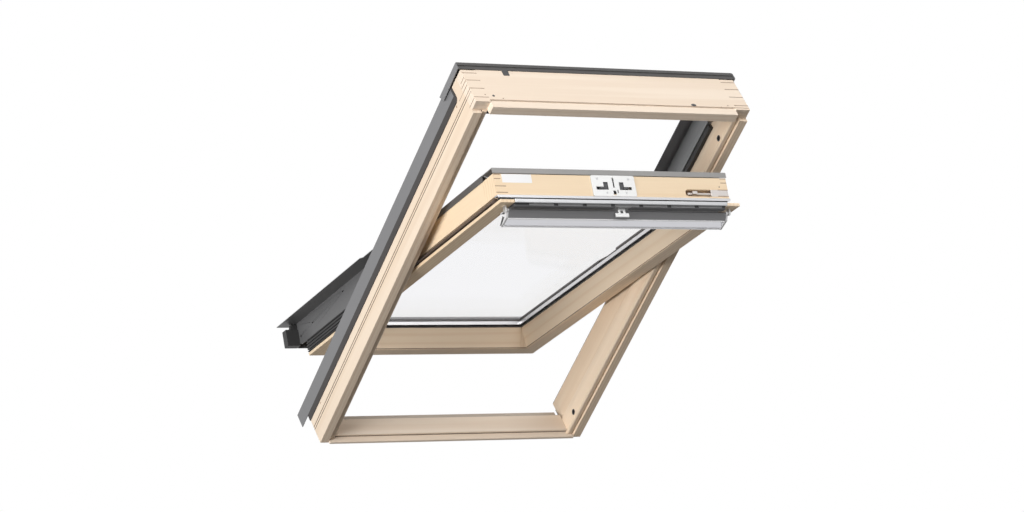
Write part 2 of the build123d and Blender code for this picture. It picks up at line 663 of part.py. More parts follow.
# Hood over the upper end: sheet, front leg and a raised fold along its front edge
with BuildPart() as frame_top_cover:
    with BuildSketch(beside(ROOF, -HOOD_HALF)):
        Polygon(
            (HOOD_OUT, HOOD_LIP_TOP),
            (HOOD_OUT, HOOD_LIP_FOOT),
            (TOP_END - LEG_SHEET, HOOD_LIP_FOOT),
            (TOP_END - LEG_SHEET, HOOD_FOOT),
            (TOP_END, HOOD_FOOT),
            (TOP_END, COVER_TOP),
            (HOOD_IN, COVER_TOP),
            (HOOD_IN, HOOD_TOP),
            (TOP_END - LEG_SHEET, HOOD_TOP),
            (TOP_END - LEG_SHEET, HOOD_LIP_TOP),
            align=None,
        )
    extrude(amount=2 * HOOD_HALF)
save(frame_top_cover.part, "frame_top_cover")

# Hood end plates with a slanted tip
with BuildPart() as hood_right_end:
    with BuildSketch(beside(ROOF, HOOD_HALF)):
        Polygon(
            (HOOD_OUT, HOOD_TOP),
            (HOOD_OUT, HOOD_FOOT),
            (HOOD_IN, HOOD_END_FOOT),
            (HOOD_END_IN, HOOD_TOP),
            align=None,
        )
    extrude(amount=LEG_SHEET)
save(hood_right_end.part, "hood_right_end")

with BuildPart() as hood_left_end:
    mirror(hood_right_end.part, about=Plane.YZ)
save(hood_left_end.part, "hood_left_end")

# Clip below the hood's front leg
with BuildPart() as hood_clip:
    with BuildSketch(beside(ROOF, CLIP_FROM)):
        Polygon(
            (TOP_END - LEG_SHEET, CLIP_FOOT),
            (TOP_END, CLIP_FOOT),
            (TOP_END, HOOD_FOOT),
            (TOP_END - LEG_SHEET, HOOD_FOOT),
            align=None,
        )
    extrude(amount=CLIP_WIDTH)
save(hood_clip.part, "hood_clip")

# Sill sheet over the bottom member, with an upstand and a drip edge
with BuildPart() as frame_bottom_cover:
    with BuildSketch(beside(ROOF, -SIDE_INNER)):
        Polygon(
            (SILL_LEG, BOTTOM_TOP),
            (LOW_END, BOTTOM_TOP),
            (LOW_END, BOTTOM_TOP - SILL_DRIP),
            (SILL_END, BOTTOM_TOP - SILL_DRIP),
            (SILL_END, BOTTOM_TOP + LEG_SHEET),
            (SILL_LEG, BOTTOM_TOP + LEG_SHEET),
            align=None,
        )
    extrude(amount=2 * SIDE_INNER)
    with BuildSketch(beside(ROOF, -SILL_LEG_HALF)):
        Polygon(
            (SILL_LEG, BOTTOM_TOP),
            (SILL_LEG + LEG_SHEET, BOTTOM_TOP),
            (SILL_LEG + LEG_SHEET, SILL_LEG_TOP),
            (SILL_LEG, SILL_LEG_TOP),
            align=None,
        )
    extrude(amount=2 * SILL_LEG_HALF)
save(frame_bottom_cover.part, "frame_bottom_cover")

# Rubber bands outside, below the side covers and round their upper ends
with BuildPart() as frame_right_gasket:
    with BuildSketch(beside(ROOF, HALF_WIDTH)) as band:
        Polygon(
            (BAND_START, BAND_FOOT),
            (LOW_END, BAND_FOOT),
            (LOW_END, COVER_FOOT),
            (LEG_START, COVER_FOOT),
            (LEG_START, BAND_HEAD),
            (BAND_START, BAND_HEAD),
            align=None,
        )
        fillet(band.vertices().sort_by_distance((BAND_START, BAND_FOOT))[0], BAND_ROUND)
    extrude(amount=BAND_THICK)
save(frame_right_gasket.part, "frame_right_gasket")

with BuildPart() as frame_left_gasket:
    mirror(frame_right_gasket.part, about=Plane.YZ)
save(frame_left_gasket.part, "frame_left_gasket")

# Metal liners in the frame's recess, beside the upper half of the sash
with BuildPart() as frame_left_liner:
    with BuildSketch(across(ROOF, -CLEAR_OF_PIVOT)):
        Polygon(
            (-LINER_IN, LINER_FOOT),
            (-RECESS, LINER_FOOT),
            (-RECESS, LINER_FOOT + LEG_SHEET),
            (-LINER_IN - LEG_SHEET, LINER_FOOT + LEG_SHEET),
            (-LINER_IN - LEG_SHEET, LINER_TOP),
            (-LINER_IN, LINER_TOP),
            align=None,
        )
    extrude(amount=-CLEAR_OF_PIVOT - TOP_INNER)
save(frame_left_liner.part, "frame_left_liner")

# The right one is open where the bolt slides out with the sash shut
with BuildPart() as frame_right_liner:
    mirror(frame_left_liner.part, about=Plane.YZ)
    with BuildSketch(beside(ROOF, LINER_IN)):
        with Locations(CLOSED_PLACE):
            Circle(CLOSED_HOLE)
    extrude(amount=RECESS - LINER_IN, mode=Mode.SUBTRACT)
save(frame_right_liner.part, "frame_right_liner")

# Rubber seals below the liners; they stop short of the bolt
with BuildPart() as frame_right_seal:
    with BuildSketch(across(ROOF, -CLEAR_OF_PIVOT)):
        Polygon(
            (SIDE_SEAL_IN, SIDE_SEAL_FOOT),
            (RECESS, SIDE_SEAL_FOOT),
            (RECESS, SIDE_SEAL_TOP),
            (SIDE_SEAL_IN, SIDE_SEAL_TOP),
            align=None,
        )
    extrude(amount=-CLEAR_OF_PIVOT - SIDE_SEAL_END)
save(frame_right_seal.part, "frame_right_seal")

with BuildPart() as frame_left_seal:
    mirror(frame_right_seal.part, about=Plane.YZ)
save(frame_left_seal.part, "frame_left_seal")

# Rubber seal under the shoulder of the top member
with BuildPart() as frame_top_seal:
    with BuildSketch(beside(ROOF, -SIDE_SEAL_IN)):
        Polygon(
            (TOP_SEAL_OUT, TOP_SEAL_FACE),
            (TOP_SEAL_IN, TOP_SEAL_FACE),
            (TOP_SEAL_IN, TOP_SHOULDER),
            (TOP_SEAL_OUT, TOP_SHOULDER),
            align=None,
        )
    extrude(amount=2 * SIDE_SEAL_IN)
save(frame_top_seal.part, "frame_top_seal")

# Pivot hinge on the frame: block, boss and pin
with BuildPart() as frame_right_hinge:
    with BuildSketch(beside(ROOF, FRAME_HINGE_IN)):
        Polygon(
            (-FRAME_HINGE_HALF, FRAME_HINGE_FOOT),
            (FRAME_HINGE_HALF, FRAME_HINGE_FOOT),
            (FRAME_HINGE_HALF, FRAME_HINGE_RISE - FRAME_HINGE_CHAMFER),
            (FRAME_HINGE_HALF - FRAME_HINGE_CHAMFER, FRAME_HINGE_RISE),
            (FRAME_HINGE_CHAMFER - FRAME_HINGE_HALF, FRAME_HINGE_RISE),
            (-FRAME_HINGE_HALF, FRAME_HINGE_RISE - FRAME_HINGE_CHAMFER),
            align=None,
        )
    extrude(amount=RECESS - FRAME_HINGE_IN)
    with BuildSketch(beside(ROOF, BOSS_END)):
        Circle(BOSS_RADIUS)
    extrude(amount=FRAME_HINGE_IN - BOSS_END)
    with BuildSketch(beside(ROOF, PIN_END)):
        Circle(PIN_RADIUS)
    extrude(amount=BOSS_END - PIN_END)
save(frame_right_hinge.part, "frame_right_hinge")

with BuildPart() as frame_left_hinge:
    mirror(frame_right_hinge.part, about=Plane.YZ)
save(frame_left_hinge.part, "frame_left_hinge")

# Striker for the lock's hooks, on the inner face of the top member
with BuildPart() as lock_striker:
    with BuildSketch(across(ROOF, TOP_INNER + STRIKER_THICK)):
        Polygon(
            (-STRIKER_HALF, STRIKER_FOOT),
            (STRIKER_HALF, STRIKER_FOOT),
            (STRIKER_HALF, STRIKER_HEAD),
            (-STRIKER_HALF, STRIKER_HEAD),
            align=None,
        )
        with Locations((0, HOOK_LEVEL)):
            with GridLocations(HOOK_SPACING, 0, 2, 1):
                Rectangle(HOOK_WIDTH, HOOK_OPENING_HEIGHT, mode=Mode.SUBTRACT)
    extrude(amount=STRIKER_THICK)
save(lock_striker.part, "lock_striker")

# Bushes for the bolt in the right frame member
with BuildPart() as bolt_bush_vent:
    with BuildSketch(beside(ROOF, SIDE_INNER)):
        with Locations(VENT_PLACE):
            Circle(BUSH_RADIUS)
            Circle(BUSH_HOLE, mode=Mode.SUBTRACT)
    extrude(amount=BUSH_LENGTH)
save(bolt_bush_vent.part, "bolt_bush_vent")

with BuildPart() as bolt_bush_cleaning:
    with BuildSketch(beside(ROOF, SIDE_INNER)):
        with Locations(CLEANING_PLACE):
            Circle(BUSH_RADIUS)
            Circle(BUSH_HOLE, mode=Mode.SUBTRACT)
    extrude(amount=BUSH_LENGTH)
save(bolt_bush_cleaning.part, "bolt_bush_cleaning")

# Right sash member: gasket groove outside, glass rebate and bevel inside, flange at the top
with BuildPart() as sash_right_member:
    with BuildSketch(across(SASH, SASH_LOW)):
        Polygon(
            (DAYLIGHT_HALF, SASH_ROOM),
            (SASH_FLANGE_HALF, SASH_ROOM),
            (SASH_FLANGE_HALF, SASH_FLANGE_LEVEL),
            (SASH_GROOVE_IN, SASH_FLANGE_LEVEL),
            (SASH_GROOVE_IN, SASH_GROOVE_LEVEL),
            (SASH_HALF, SASH_GROOVE_LEVEL),
            (SASH_HALF, SASH_WOOD_TOP),
            (DAYLIGHT_HALF, SASH_WOOD_TOP),
            align=None,
        )
    extrude(amount=SASH_LOW - DAYLIGHT_TOP)
    with BuildSketch(SASH.offset(SASH_ROOM)):
        Polygon(
            (RAIL_HALF, SASH_FLANGE_TOP),
            (SASH_FLANGE_HALF, SASH_FLANGE_TOP),
            (SASH_FLANGE_HALF, DAYLIGHT_TOP),
            (RAIL_HALF, DAYLIGHT_TOP),
            align=None,
        )
    extrude(amount=SASH_FLANGE_LEVEL - SASH_ROOM)
    # rebate for the glass unit
    with BuildSketch(SASH.offset(GLASS_LEDGE)):
        Polygon(
            (-REBATE_HALF, REBATE_TOP),
            (REBATE_HALF, REBATE_TOP),
            (REBATE_HALF, REBATE_LOW),
            (-REBATE_HALF, REBATE_LOW),
            align=None,
        )
    extrude(amount=SASH_WOOD_TOP - GLASS_LEDGE, mode=Mode.SUBTRACT)
    # bevelled daylight opening
    with BuildSketch(SASH.offset(SASH_ROOM)):
        Polygon(
            (-BEVEL_HALF, DAYLIGHT_TOP),
            (BEVEL_HALF, DAYLIGHT_TOP),
            (BEVEL_HALF, BEVEL_LOW),
            (-BEVEL_HALF, BEVEL_LOW),
            align=None,
        )
    with BuildSketch(SASH.offset(GLASS_LEDGE)):
        Polygon(
            (-DAYLIGHT_HALF, DAYLIGHT_TOP),
            (DAYLIGHT_HALF, DAYLIGHT_TOP),
            (DAYLIGHT_HALF, DAYLIGHT_LOW),
            (-DAYLIGHT_HALF, DAYLIGHT_LOW),
            align=None,
        )
    loft(mode=Mode.SUBTRACT)
    # the lower end leans back so that it clears the frame when it turns
    with BuildSketch(beside(SASH, DAYLIGHT_HALF)):
        Polygon(
            (SASH_LOW_ROOM, SASH_ROOM),
            (SASH_LOW, SASH_ROOM),
            (SASH_LOW, SASH_BEND_LEVEL),
            align=None,
        )
    extrude(amount=SASH_FLANGE_HALF - DAYLIGHT_HALF, mode=Mode.SUBTRACT)
save(sash_right_member.part, "sash_right_member")

with BuildPart() as sash_left_member:
    mirror(sash_right_member.part, about=Plane.YZ)
save(sash_left_member.part, "sash_left_member")

# Top rail of the sash, with the lock's pocket and the bolt's channel
with BuildPart() as sash_top_rail:
    with BuildSketch(beside(SASH, -SASH_HALF)):
        Polygon(
            (SASH_TOP, SASH_WOOD_TOP),
            (SASH_TOP, SASH_GROOVE_LEVEL),
            (TOP_RAIL_BACK, SASH_GROOVE_LEVEL),
            (TOP_RAIL_BACK, SASH_FLANGE_LEVEL),
            (DAYLIGHT_TOP, SASH_FLANGE_LEVEL),
            (DAYLIGHT_TOP, GLASS_LEDGE),
            (REBATE_TOP, GLASS_LEDGE),
            (REBATE_TOP, SASH_WOOD_TOP),
            align=None,
        )
    extrude(amount=2 * SASH_HALF)
    # the corners beside the glass stay full height
    with BuildSketch(SASH.offset(GLASS_LEDGE)):
        with Locations((0, (REBATE_TOP + DAYLIGHT_TOP) / 2)):
            with GridLocations(SASH_HALF + REBATE_HALF, 0, 2, 1):
                Rectangle(SASH_HALF - REBATE_HALF, DAYLIGHT_TOP - REBATE_TOP)
    extrude(amount=SASH_WOOD_TOP - GLASS_LEDGE)
    # gasket groove at both ends
    with BuildSketch(SASH.offset(SASH_FLANGE_LEVEL)):
        with Locations((0, (TOP_RAIL_BACK + DAYLIGHT_TOP) / 2)):
            with GridLocations(SASH_HALF + SASH_GROOVE_IN, 0, 2, 1):
                Rectangle(SASH_HALF - SASH_GROOVE_IN, DAYLIGHT_TOP - TOP_RAIL_BACK)
    extrude(amount=SASH_GROOVE_LEVEL - SASH_FLANGE_LEVEL, mode=Mode.SUBTRACT)
    with BuildSketch(beside(SASH, -POCKET_HALF)):
        Polygon(
            (SASH_TOP, POCKET_FOOT),
            (SASH_TOP + POCKET_DEPTH, POCKET_FOOT),
            (SASH_TOP + POCKET_DEPTH, POCKET_HEAD),
            (SASH_TOP, POCKET_HEAD),
            align=None,
        )
    extrude(amount=2 * POCKET_HALF, mode=Mode.SUBTRACT)
    # the bolt's channel is rounded at its inner end
    with BuildSketch(across(SASH, SASH_TOP)):
        with Locations((CHANNEL_START + CHANNEL_HEIGHT / 2, BOLT_LEVEL)):
            Circle(CHANNEL_HEIGHT / 2)
            Rectangle(
                SASH_HALF - CHANNEL_START,
                CHANNEL_HEIGHT,
                align=(Align.MIN, Align.CENTER),
            )
    extrude(amount=-CHANNEL_DEPTH, mode=Mode.SUBTRACT)
save(sash_top_rail.part, "sash_top_rail")

# Bottom rail of the sash, between the sides
with BuildPart() as sash_bottom_rail:
    with BuildSketch(beside(SASH, -DAYLIGHT_HALF)):
        Polygon(
            (BEVEL_LOW, SASH_ROOM),
            (SASH_LOW_ROOM, SASH_ROOM),
            (SASH_LOW, SASH_BEND_LEVEL),
            (SASH_LOW, SASH_WOOD_TOP),
            (REBATE_LOW, SASH_WOOD_TOP),
            (REBATE_LOW, GLASS_LEDGE),
            (DAYLIGHT_LOW, GLASS_LEDGE),
            align=None,
        )
    extrude(amount=2 * DAYLIGHT_HALF)
save(sash_bottom_rail.part, "sash_bottom_rail")

# Glass unit: rubber seal, inner pane, spacer, outer pane
PANE_LENGTH = PANE_LOW - PANE_TOP
PANE_MIDDLE = (PANE_LOW + PANE_TOP) / 2
with BuildPart() as glazing_gasket:
    with BuildSketch(SASH.offset(GLASS_LEDGE)):
        with Locations((0, PANE_MIDDLE)):
            Rectangle(2 * PANE_HALF, PANE_LENGTH)
        with Locations((0, (DAYLIGHT_TOP + DAYLIGHT_LOW) / 2)):
            Rectangle(
                2 * (DAYLIGHT_HALF - SEAL_LIP),
                DAYLIGHT_LOW - DAYLIGHT_TOP - 2 * SEAL_LIP,
                mode=Mode.SUBTRACT,
            )
    extrude(amount=SEAL_THICK)
save(glazing_gasket.part, "glazing_gasket")

with BuildPart() as pane_inner:
    with BuildSketch(SASH.offset(INNER_PANE_LEVEL)):
        with Locations((0, PANE_MIDDLE)):
            Rectangle(2 * PANE_HALF, PANE_LENGTH)
    extrude(amount=PANE_THICK)
save(pane_inner.part, "pane_inner")

with BuildPart() as pane_spacer:
    with BuildSketch(SASH.offset(CAVITY_LEVEL)):
        with Locations((0, PANE_MIDDLE)):
            Rectangle(2 * (PANE_HALF - SPACER_INSET), PANE_LENGTH - 2 * SPACER_INSET)
            Rectangle(
                2 * (PANE_HALF - SPACER_INSET - SPACER_WIDTH),
                PANE_LENGTH - 2 * (SPACER_INSET + SPACER_WIDTH),
                mode=Mode.SUBTRACT,
            )
    extrude(amount=CAVITY)
save(pane_spacer.part, "pane_spacer")

with BuildPart() as pane_outer:
    with BuildSketch(SASH.offset(OUTER_PANE_LEVEL)):
        with Locations((0, PANE_MIDDLE)):
            Rectangle(2 * PANE_HALF, PANE_LENGTH)
    extrude(amount=PANE_THICK)
save(pane_outer.part, "pane_outer")

# Upper side covers of the sash, sloping down to the glass
with BuildPart() as sash_right_upper_cover:
    with BuildSketch(across(SASH, UPPER_START)):
        Polygon(
            (COVER_INNER, GLASS_TOP),
            (COVER_INNER + LEG_SHEET, GLASS_TOP),
            (COVER_INNER + LEG_SHEET, LIP_LEVEL - LEG_SHEET),
            (SASH_HALF, UPPER_TOP - LEG_SHEET),
            (SASH_HALF, UPPER_FOOT - LEG_SHEET),
            (SASH_HALF + LEG_SHEET, UPPER_FOOT - LEG_SHEET),
            (SASH_HALF + LEG_SHEET, UPPER_TOP),
            (COVER_INNER, LIP_LEVEL),
            align=None,
        )
    extrude(amount=UPPER_START - TOP_COVER_BACK)
save(sash_right_upper_cover.part, "sash_right_upper_cover")

with BuildPart() as sash_left_upper_cover:
    mirror(sash_right_upper_cover.part, about=Plane.YZ)
save(sash_left_upper_cover.part, "sash_left_upper_cover")

# Top cover of the sash: front leg, sheet and a leg that holds the glass
with BuildPart() as sash_top_cover:
    with BuildSketch(beside(SASH, -SASH_HALF - LEG_SHEET)):
        Polygon(
            (SASH_TOP - LEG_SHEET, UPPER_TOP),
            (SASH_TOP - LEG_SHEET, UPPER_FOOT),
            (SASH_TOP, UPPER_FOOT),
            (SASH_TOP, UPPER_TOP - LEG_SHEET),
            (TOP_COVER_BACK, UPPER_TOP - LEG_SHEET),
            (TOP_COVER_BACK, UPPER_TOP),
            align=None,
        )
    extrude(amount=2 * (SASH_HALF + LEG_SHEET))
    with BuildSketch(across(SASH, TOP_COVER_BACK)):
        Polygon(
            (-SASH_HALF, UPPER_TOP),
            (-COVER_INNER, LIP_LEVEL),
            (-COVER_INNER, GLASS_TOP),
            (COVER_INNER, GLASS_TOP),
            (COVER_INNER, LIP_LEVEL),
            (SASH_HALF, UPPER_TOP),
            align=None,
        )
    extrude(amount=LEG_SHEET)
save(sash_top_cover.part, "sash_top_cover")

# Lower side covers: sloping sheet, a deep side plate with slots, and a flange over the frame
PLATE_LENGTH = PLATE_END - LOWER_START
PLATE_HEIGHT = LOWER_TOP - PLATE_FOOT
PLATE_SLOT_PLACES = [
    (LOWER_START + along * PLATE_LENGTH, PLATE_FOOT + up * PLATE_HEIGHT)
    for along, up in PLATE_SLOT_SHARES
]
with BuildPart() as sash_right_lower_cover:
    with BuildSketch(across(SASH, BOTTOM_SLOPE_END)):
        Polygon(
            (COVER_INNER, GLASS_TOP),
            (COVER_INNER + LEG_SHEET, GLASS_TOP),
            (COVER_INNER + LEG_SHEET, LIP_LEVEL - SHEET),
            (PLATE_IN, LOWER_TOP - SHEET),
            (PLATE_IN, LOWER_TOP),
            (COVER_INNER, LIP_LEVEL),
            align=None,
        )
    extrude(amount=BOTTOM_SLOPE_END - LOWER_START)
    # mitre against the bottom cover
    with BuildSketch(SASH.offset(GLASS_TOP)):
        Polygon(
            (COVER_INNER, BOTTOM_COVER_IN),
            (PLATE_IN, BOTTOM_SLOPE_END),
            (COVER_INNER, BOTTOM_SLOPE_END),
            align=None,
        )
    extrude(amount=LOWER_TOP - GLASS_TOP, mode=Mode.SUBTRACT)
    with BuildSketch(beside(SASH, PLATE_IN)) as plate:
        Polygon(
            (LOWER_START, LOWER_TOP),
            (LOWER_START, PLATE_FOOT),
            (PLATE_END, PLATE_FOOT),
            (PLATE_END, LOWER_TOP),
            align=None,
        )
        fillet(plate.vertices().sort_by_distance((PLATE_END, PLATE_FOOT))[0], PLATE_ROUND)
        with Locations(*PLATE_SLOT_PLACES):
            SlotOverall(PLATE_SLOT_LENGTH, PLATE_SLOT_WIDTH, mode=Mode.SUBTRACT)
    extrude(amount=LEG_SHEET)
    # the flange is narrow where it turns past the gutter's rib
    with BuildSketch(SASH.offset(LOWER_TOP - SHEET)):
        Polygon(
            (PLATE_IN, LOWER_START),
            (FLANGE_NECK, LOWER_START),
            (FLANGE_NECK, CLEAR_OF_PIVOT),
            (FLANGE_HALF, CLEAR_OF_PIVOT + FLANGE_HALF - FLANGE_NECK),
            (FLANGE_HALF, COVER_LOW_END),
            (PLATE_OUT, COVER_LOW_END),
            (PLATE_OUT, PLATE_END),
            (PLATE_IN, PLATE_END),
            align=None,
        )
    extrude(amount=SHEET)
save(sash_right_lower_cover.part, "sash_right_lower_cover")

with BuildPart() as sash_left_lower_cover:
    mirror(sash_right_lower_cover.part, about=Plane.YZ)
save(sash_left_lower_cover.part, "sash_left_lower_cover")

# Bottom cover of the sash: sloping sheet, flat sheet and drip leg
with BuildPart() as sash_bottom_cover:
    with BuildSketch(beside(SASH, -PLATE_IN)):
        Polygon(
            (BOTTOM_COVER_IN, GLASS_TOP),
            (BOTTOM_COVER_IN + LEG_SHEET, GLASS_TOP),
            (BOTTOM_COVER_IN + LEG_SHEET, LIP_LEVEL - SHEET),
            (BOTTOM_SLOPE_END, LOWER_TOP - SHEET),
            (BOTTOM_COVER_LOW - LEG_SHEET, LOWER_TOP - SHEET),
            (BOTTOM_COVER_LOW - LEG_SHEET, CAP_FOOT),
            (BOTTOM_COVER_LOW, CAP_FOOT),
            (BOTTOM_COVER_LOW, LOWER_TOP),
            (BOTTOM_SLOPE_END, LOWER_TOP),
            (BOTTOM_COVER_IN, LIP_LEVEL),
            align=None,
        )
    extrude(amount=2 * PLATE_IN)
    # mitres against both side covers
    with BuildSketch(SASH.offset(GLASS_TOP)):
        Polygon(
            (COVER_INNER, BOTTOM_COVER_IN),
            (PLATE_IN, BOTTOM_COVER_IN),
            (PLATE_IN, BOTTOM_SLOPE_END),
            align=None,
        )
        mirror(about=Plane.YZ)
    extrude(amount=LOWER_TOP - GLASS_TOP, mode=Mode.SUBTRACT)
save(sash_bottom_cover.part, "sash_bottom_cover")

# Rubber end caps at the lower corners, outside the side plates
with BuildPart() as sash_right_cap:
    with BuildSketch(beside(SASH, PLATE_OUT)):
        Polygon(
            (CAP_BACK, CAP_FOOT),
            (BOTTOM_COVER_LOW, CAP_FOOT),
            (BOTTOM_COVER_LOW, CAP_HEAD),
            (CAP_BACK, CAP_HEAD),
            align=None,
        )
    extrude(amount=CAP_OUT - PLATE_OUT)
save(sash_right_cap.part, "sash_right_cap")

with BuildPart() as sash_left_cap:
    mirror(sash_right_cap.part, about=Plane.YZ)
save(sash_left_cap.part, "sash_left_cap")

# Gaskets in the groove along the upper half of the sash
with BuildPart() as sash_right_upper_gasket:
    with BuildSketch(across(SASH, UPPER_GASKET_END)):
        Polygon(
            (SASH_GROOVE_IN, UPPER_GASKET_FOOT),
            (UPPER_GASKET_TIP, UPPER_GASKET_FOOT),
            (SASH_HALF, UPPER_GASKET_TOP),
            (SASH_GROOVE_IN, UPPER_GASKET_TOP),
            align=None,
        )
    extrude(amount=UPPER_GASKET_END - TOP_RAIL_BACK)
save(sash_right_upper_gasket.part, "sash_right_upper_gasket")

with BuildPart() as sash_left_upper_gasket:
    mirror(sash_right_upper_gasket.part, about=Plane.YZ)
save(sash_left_upper_gasket.part, "sash_left_upper_gasket")

with BuildPart() as sash_top_gasket:
    with BuildSketch(beside(SASH, -SASH_GROOVE_IN)):
        Polygon(
            (TOP_RAIL_BACK, UPPER_GASKET_FOOT),
            (TOP_GASKET_OUT, UPPER_GASKET_FOOT),
            (SASH_TOP, UPPER_GASKET_TOP),
            (TOP_RAIL_BACK, UPPER_GASKET_TOP),
            align=None,
        )
    extrude(amount=2 * SASH_GROOVE_IN)
save(sash_top_gasket.part, "sash_top_gasket")

# Ribbed gaskets along the lower half of the sash
with BuildPart() as sash_right_lower_gasket:
    with BuildSketch(across(SASH, LOWER_GASKET_END)):
        Polygon(
            (SASH_HALF, LOWER_GASKET_FOOT),
            (LOWER_GASKET_TIP, LOWER_GASKET_FOOT),
            (LOWER_GASKET_TIP, LOWER_GASKET_TOP),
            (SASH_HALF, LOWER_GASKET_TOP),
            align=None,
        )
        with Locations((LOWER_GASKET_TIP, (LOWER_GASKET_FOOT + LOWER_GASKET_TOP) / 2)):
            with GridLocations(0, RIB_SPACING, 1, RIB_COUNT):
                Rectangle(2 * RIB_DEPTH, RIB_GAP, mode=Mode.SUBTRACT)
    extrude(amount=LOWER_GASKET_END - LOWER_GASKET_START)
save(sash_right_lower_gasket.part, "sash_right_lower_gasket")

with BuildPart() as sash_left_lower_gasket:
    mirror(sash_right_lower_gasket.part, about=Plane.YZ)
save(sash_left_lower_gasket.part, "sash_left_lower_gasket")

# Pivot hinge on the sash: plate with an ear round the pin, and two screw heads
with BuildPart() as sash_right_hinge:
    with BuildSketch(beside(SASH, SASH_HALF)):
        Polygon(
            (-SASH_HINGE_HALF, SASH_HINGE_FOOT),
            (SASH_HINGE_HALF, SASH_HINGE_FOOT),
            (SASH_HINGE_HALF, -EAR_RADIUS),
            (EAR_RADIUS, 0),
            (-EAR_RADIUS, 0),
            (-SASH_HINGE_HALF, -EAR_RADIUS),
            align=None,
        )
        Circle(EAR_RADIUS)
        Circle(PIN_RADIUS + PIN_CLEARANCE, mode=Mode.SUBTRACT)
    extrude(amount=SASH_HINGE_THICK)
    with BuildSketch(beside(SASH, SASH_HINGE_FACE)):
        with Locations((0, SCREW_LEVEL)):
            with GridLocations(SCREW_SPACING, 0, 2, 1):
                Circle(SCREW_RADIUS)
    extrude(amount=SCREW_HEAD)
save(sash_right_hinge.part, "sash_right_hinge")

with BuildPart() as sash_left_hinge:
    mirror(sash_right_hinge.part, about=Plane.YZ)
save(sash_left_hinge.part, "sash_left_hinge")

# Lock plate with two angled openings for the hooks, a slot and a key hole
LOCK_SCREW_PLACES = [
    (across_share * LOCK_HALF, LOCK_FOOT + up * LOCK_HEIGHT)
    for across_share, up in LOCK_SCREW_SHARES
]
with BuildPart() as lock_plate:
    with BuildSketch(across(SASH, SASH_TOP)):
        with Locations((0, (LOCK_FOOT + LOCK_HEAD) / 2)):
            RectangleRounded(2 * LOCK_HALF, LOCK_HEAD - LOCK_FOOT, LOCK_CORNER)
        with Locations((0, HOOK_LEVEL)):
            with GridLocations(HOOK_SPACING, 0, 2, 1):
                Rectangle(HOOK_OPENING, HOOK_OPENING_HEIGHT, mode=Mode.SUBTRACT)
        with Locations((0, LEVER_LEVEL)):
            with GridLocations(LEVER_SPACING, 0, 2, 1):
                Rectangle(LEVER_OPENING, LEVER_OPENING_HEIGHT, mode=Mode.SUBTRACT)
        with Locations((0, KEY_SLOT_LEVEL)):
            Rectangle(KEY_SLOT_WIDTH, KEY_SLOT_LENGTH, mode=Mode.SUBTRACT)
        with Locations((0, KEY_HOLE_LEVEL)):
            Rectangle(KEY_HOLE_WIDTH, KEY_HOLE_HEIGHT, mode=Mode.SUBTRACT)
        with Locations(*LOCK_SCREW_PLACES):
            Circle(LOCK_SCREW_RADIUS, mode=Mode.SUBTRACT)
    extrude(amount=LOCK_PLATE)
save(lock_plate.part, "lock_plate")

# Lock case at the back of the pocket
LATCH_FRONT = SASH_TOP + LATCH_GAP
LATCH_BACK = LATCH_FRONT + LATCH_THICK
with BuildPart() as lock_case:
    with BuildSketch(across(SASH, SASH_TOP + POCKET_DEPTH)):
        Polygon(
            (-POCKET_HALF, POCKET_FOOT),
            (POCKET_HALF, POCKET_FOOT),
            (POCKET_HALF, POCKET_HEAD),
            (-POCKET_HALF, POCKET_HEAD),
            align=None,
        )
    extrude(amount=SASH_TOP + POCKET_DEPTH - LATCH_BACK - LATCH_GAP)
save(lock_case.part, "lock_case")

# Latch that slides behind the lock plate, with two hooks in the openings
with BuildPart() as lock_latch:
    with BuildSketch(across(SASH, LATCH_BACK)):
        Polygon(
            (-LATCH_HALF, LATCH_FOOT),
            (LATCH_HALF, LATCH_FOOT),
            (LATCH_HALF, LATCH_HEAD),
            (-LATCH_HALF, LATCH_HEAD),
            align=None,
        )
    extrude(amount=LATCH_THICK)
    with BuildSketch(across(SASH, LATCH_FRONT)):
        with Locations((0, HOOK_LEVEL)):
            with GridLocations(HOOK_SPACING, 0, 2, 1):
                Rectangle(HOOK_WIDTH, HOOK_HEIGHT)
    extrude(amount=LOCK_PLATE + HOOK_REACH)
save(lock_latch.part, "lock_latch")

# Bolt housing in the channel
with BuildPart() as bolt_housing:
    with BuildSketch(beside(SASH, HOUSING_START)):
        with Locations((SASH_TOP + CHANNEL_DEPTH / 2, BOLT_LEVEL)):
            Rectangle(CHANNEL_DEPTH, CHANNEL_HEIGHT)
        with Locations((BOLT_ALONG, BOLT_LEVEL)):
            Circle(BOLT_RADIUS + BOLT_CLEARANCE, mode=Mode.SUBTRACT)
    extrude(amount=HOUSING_END - HOUSING_START)
save(bolt_housing.part, "bolt_housing")

# Barrel bolt: rod, collar and a grip that stands out of the channel
with BuildPart() as barrel_bolt:
    with BuildSketch(beside(SASH, BOLT_START)):
        with Locations((BOLT_ALONG, BOLT_LEVEL)):
            Circle(BOLT_RADIUS)
    extrude(amount=BOLT_END - BOLT_START)
    with BuildSketch(beside(SASH, KNOB_START)):
        with Locations((BOLT_ALONG, BOLT_LEVEL)):
            Circle(KNOB_RADIUS)
        with Locations(((BOLT_ALONG + GRIP_END) / 2, BOLT_LEVEL)):
            Rectangle(BOLT_ALONG - GRIP_END, GRIP_WIDTH)
    extrude(amount=KNOB_LENGTH)
save(barrel_bolt.part, "barrel_bolt")

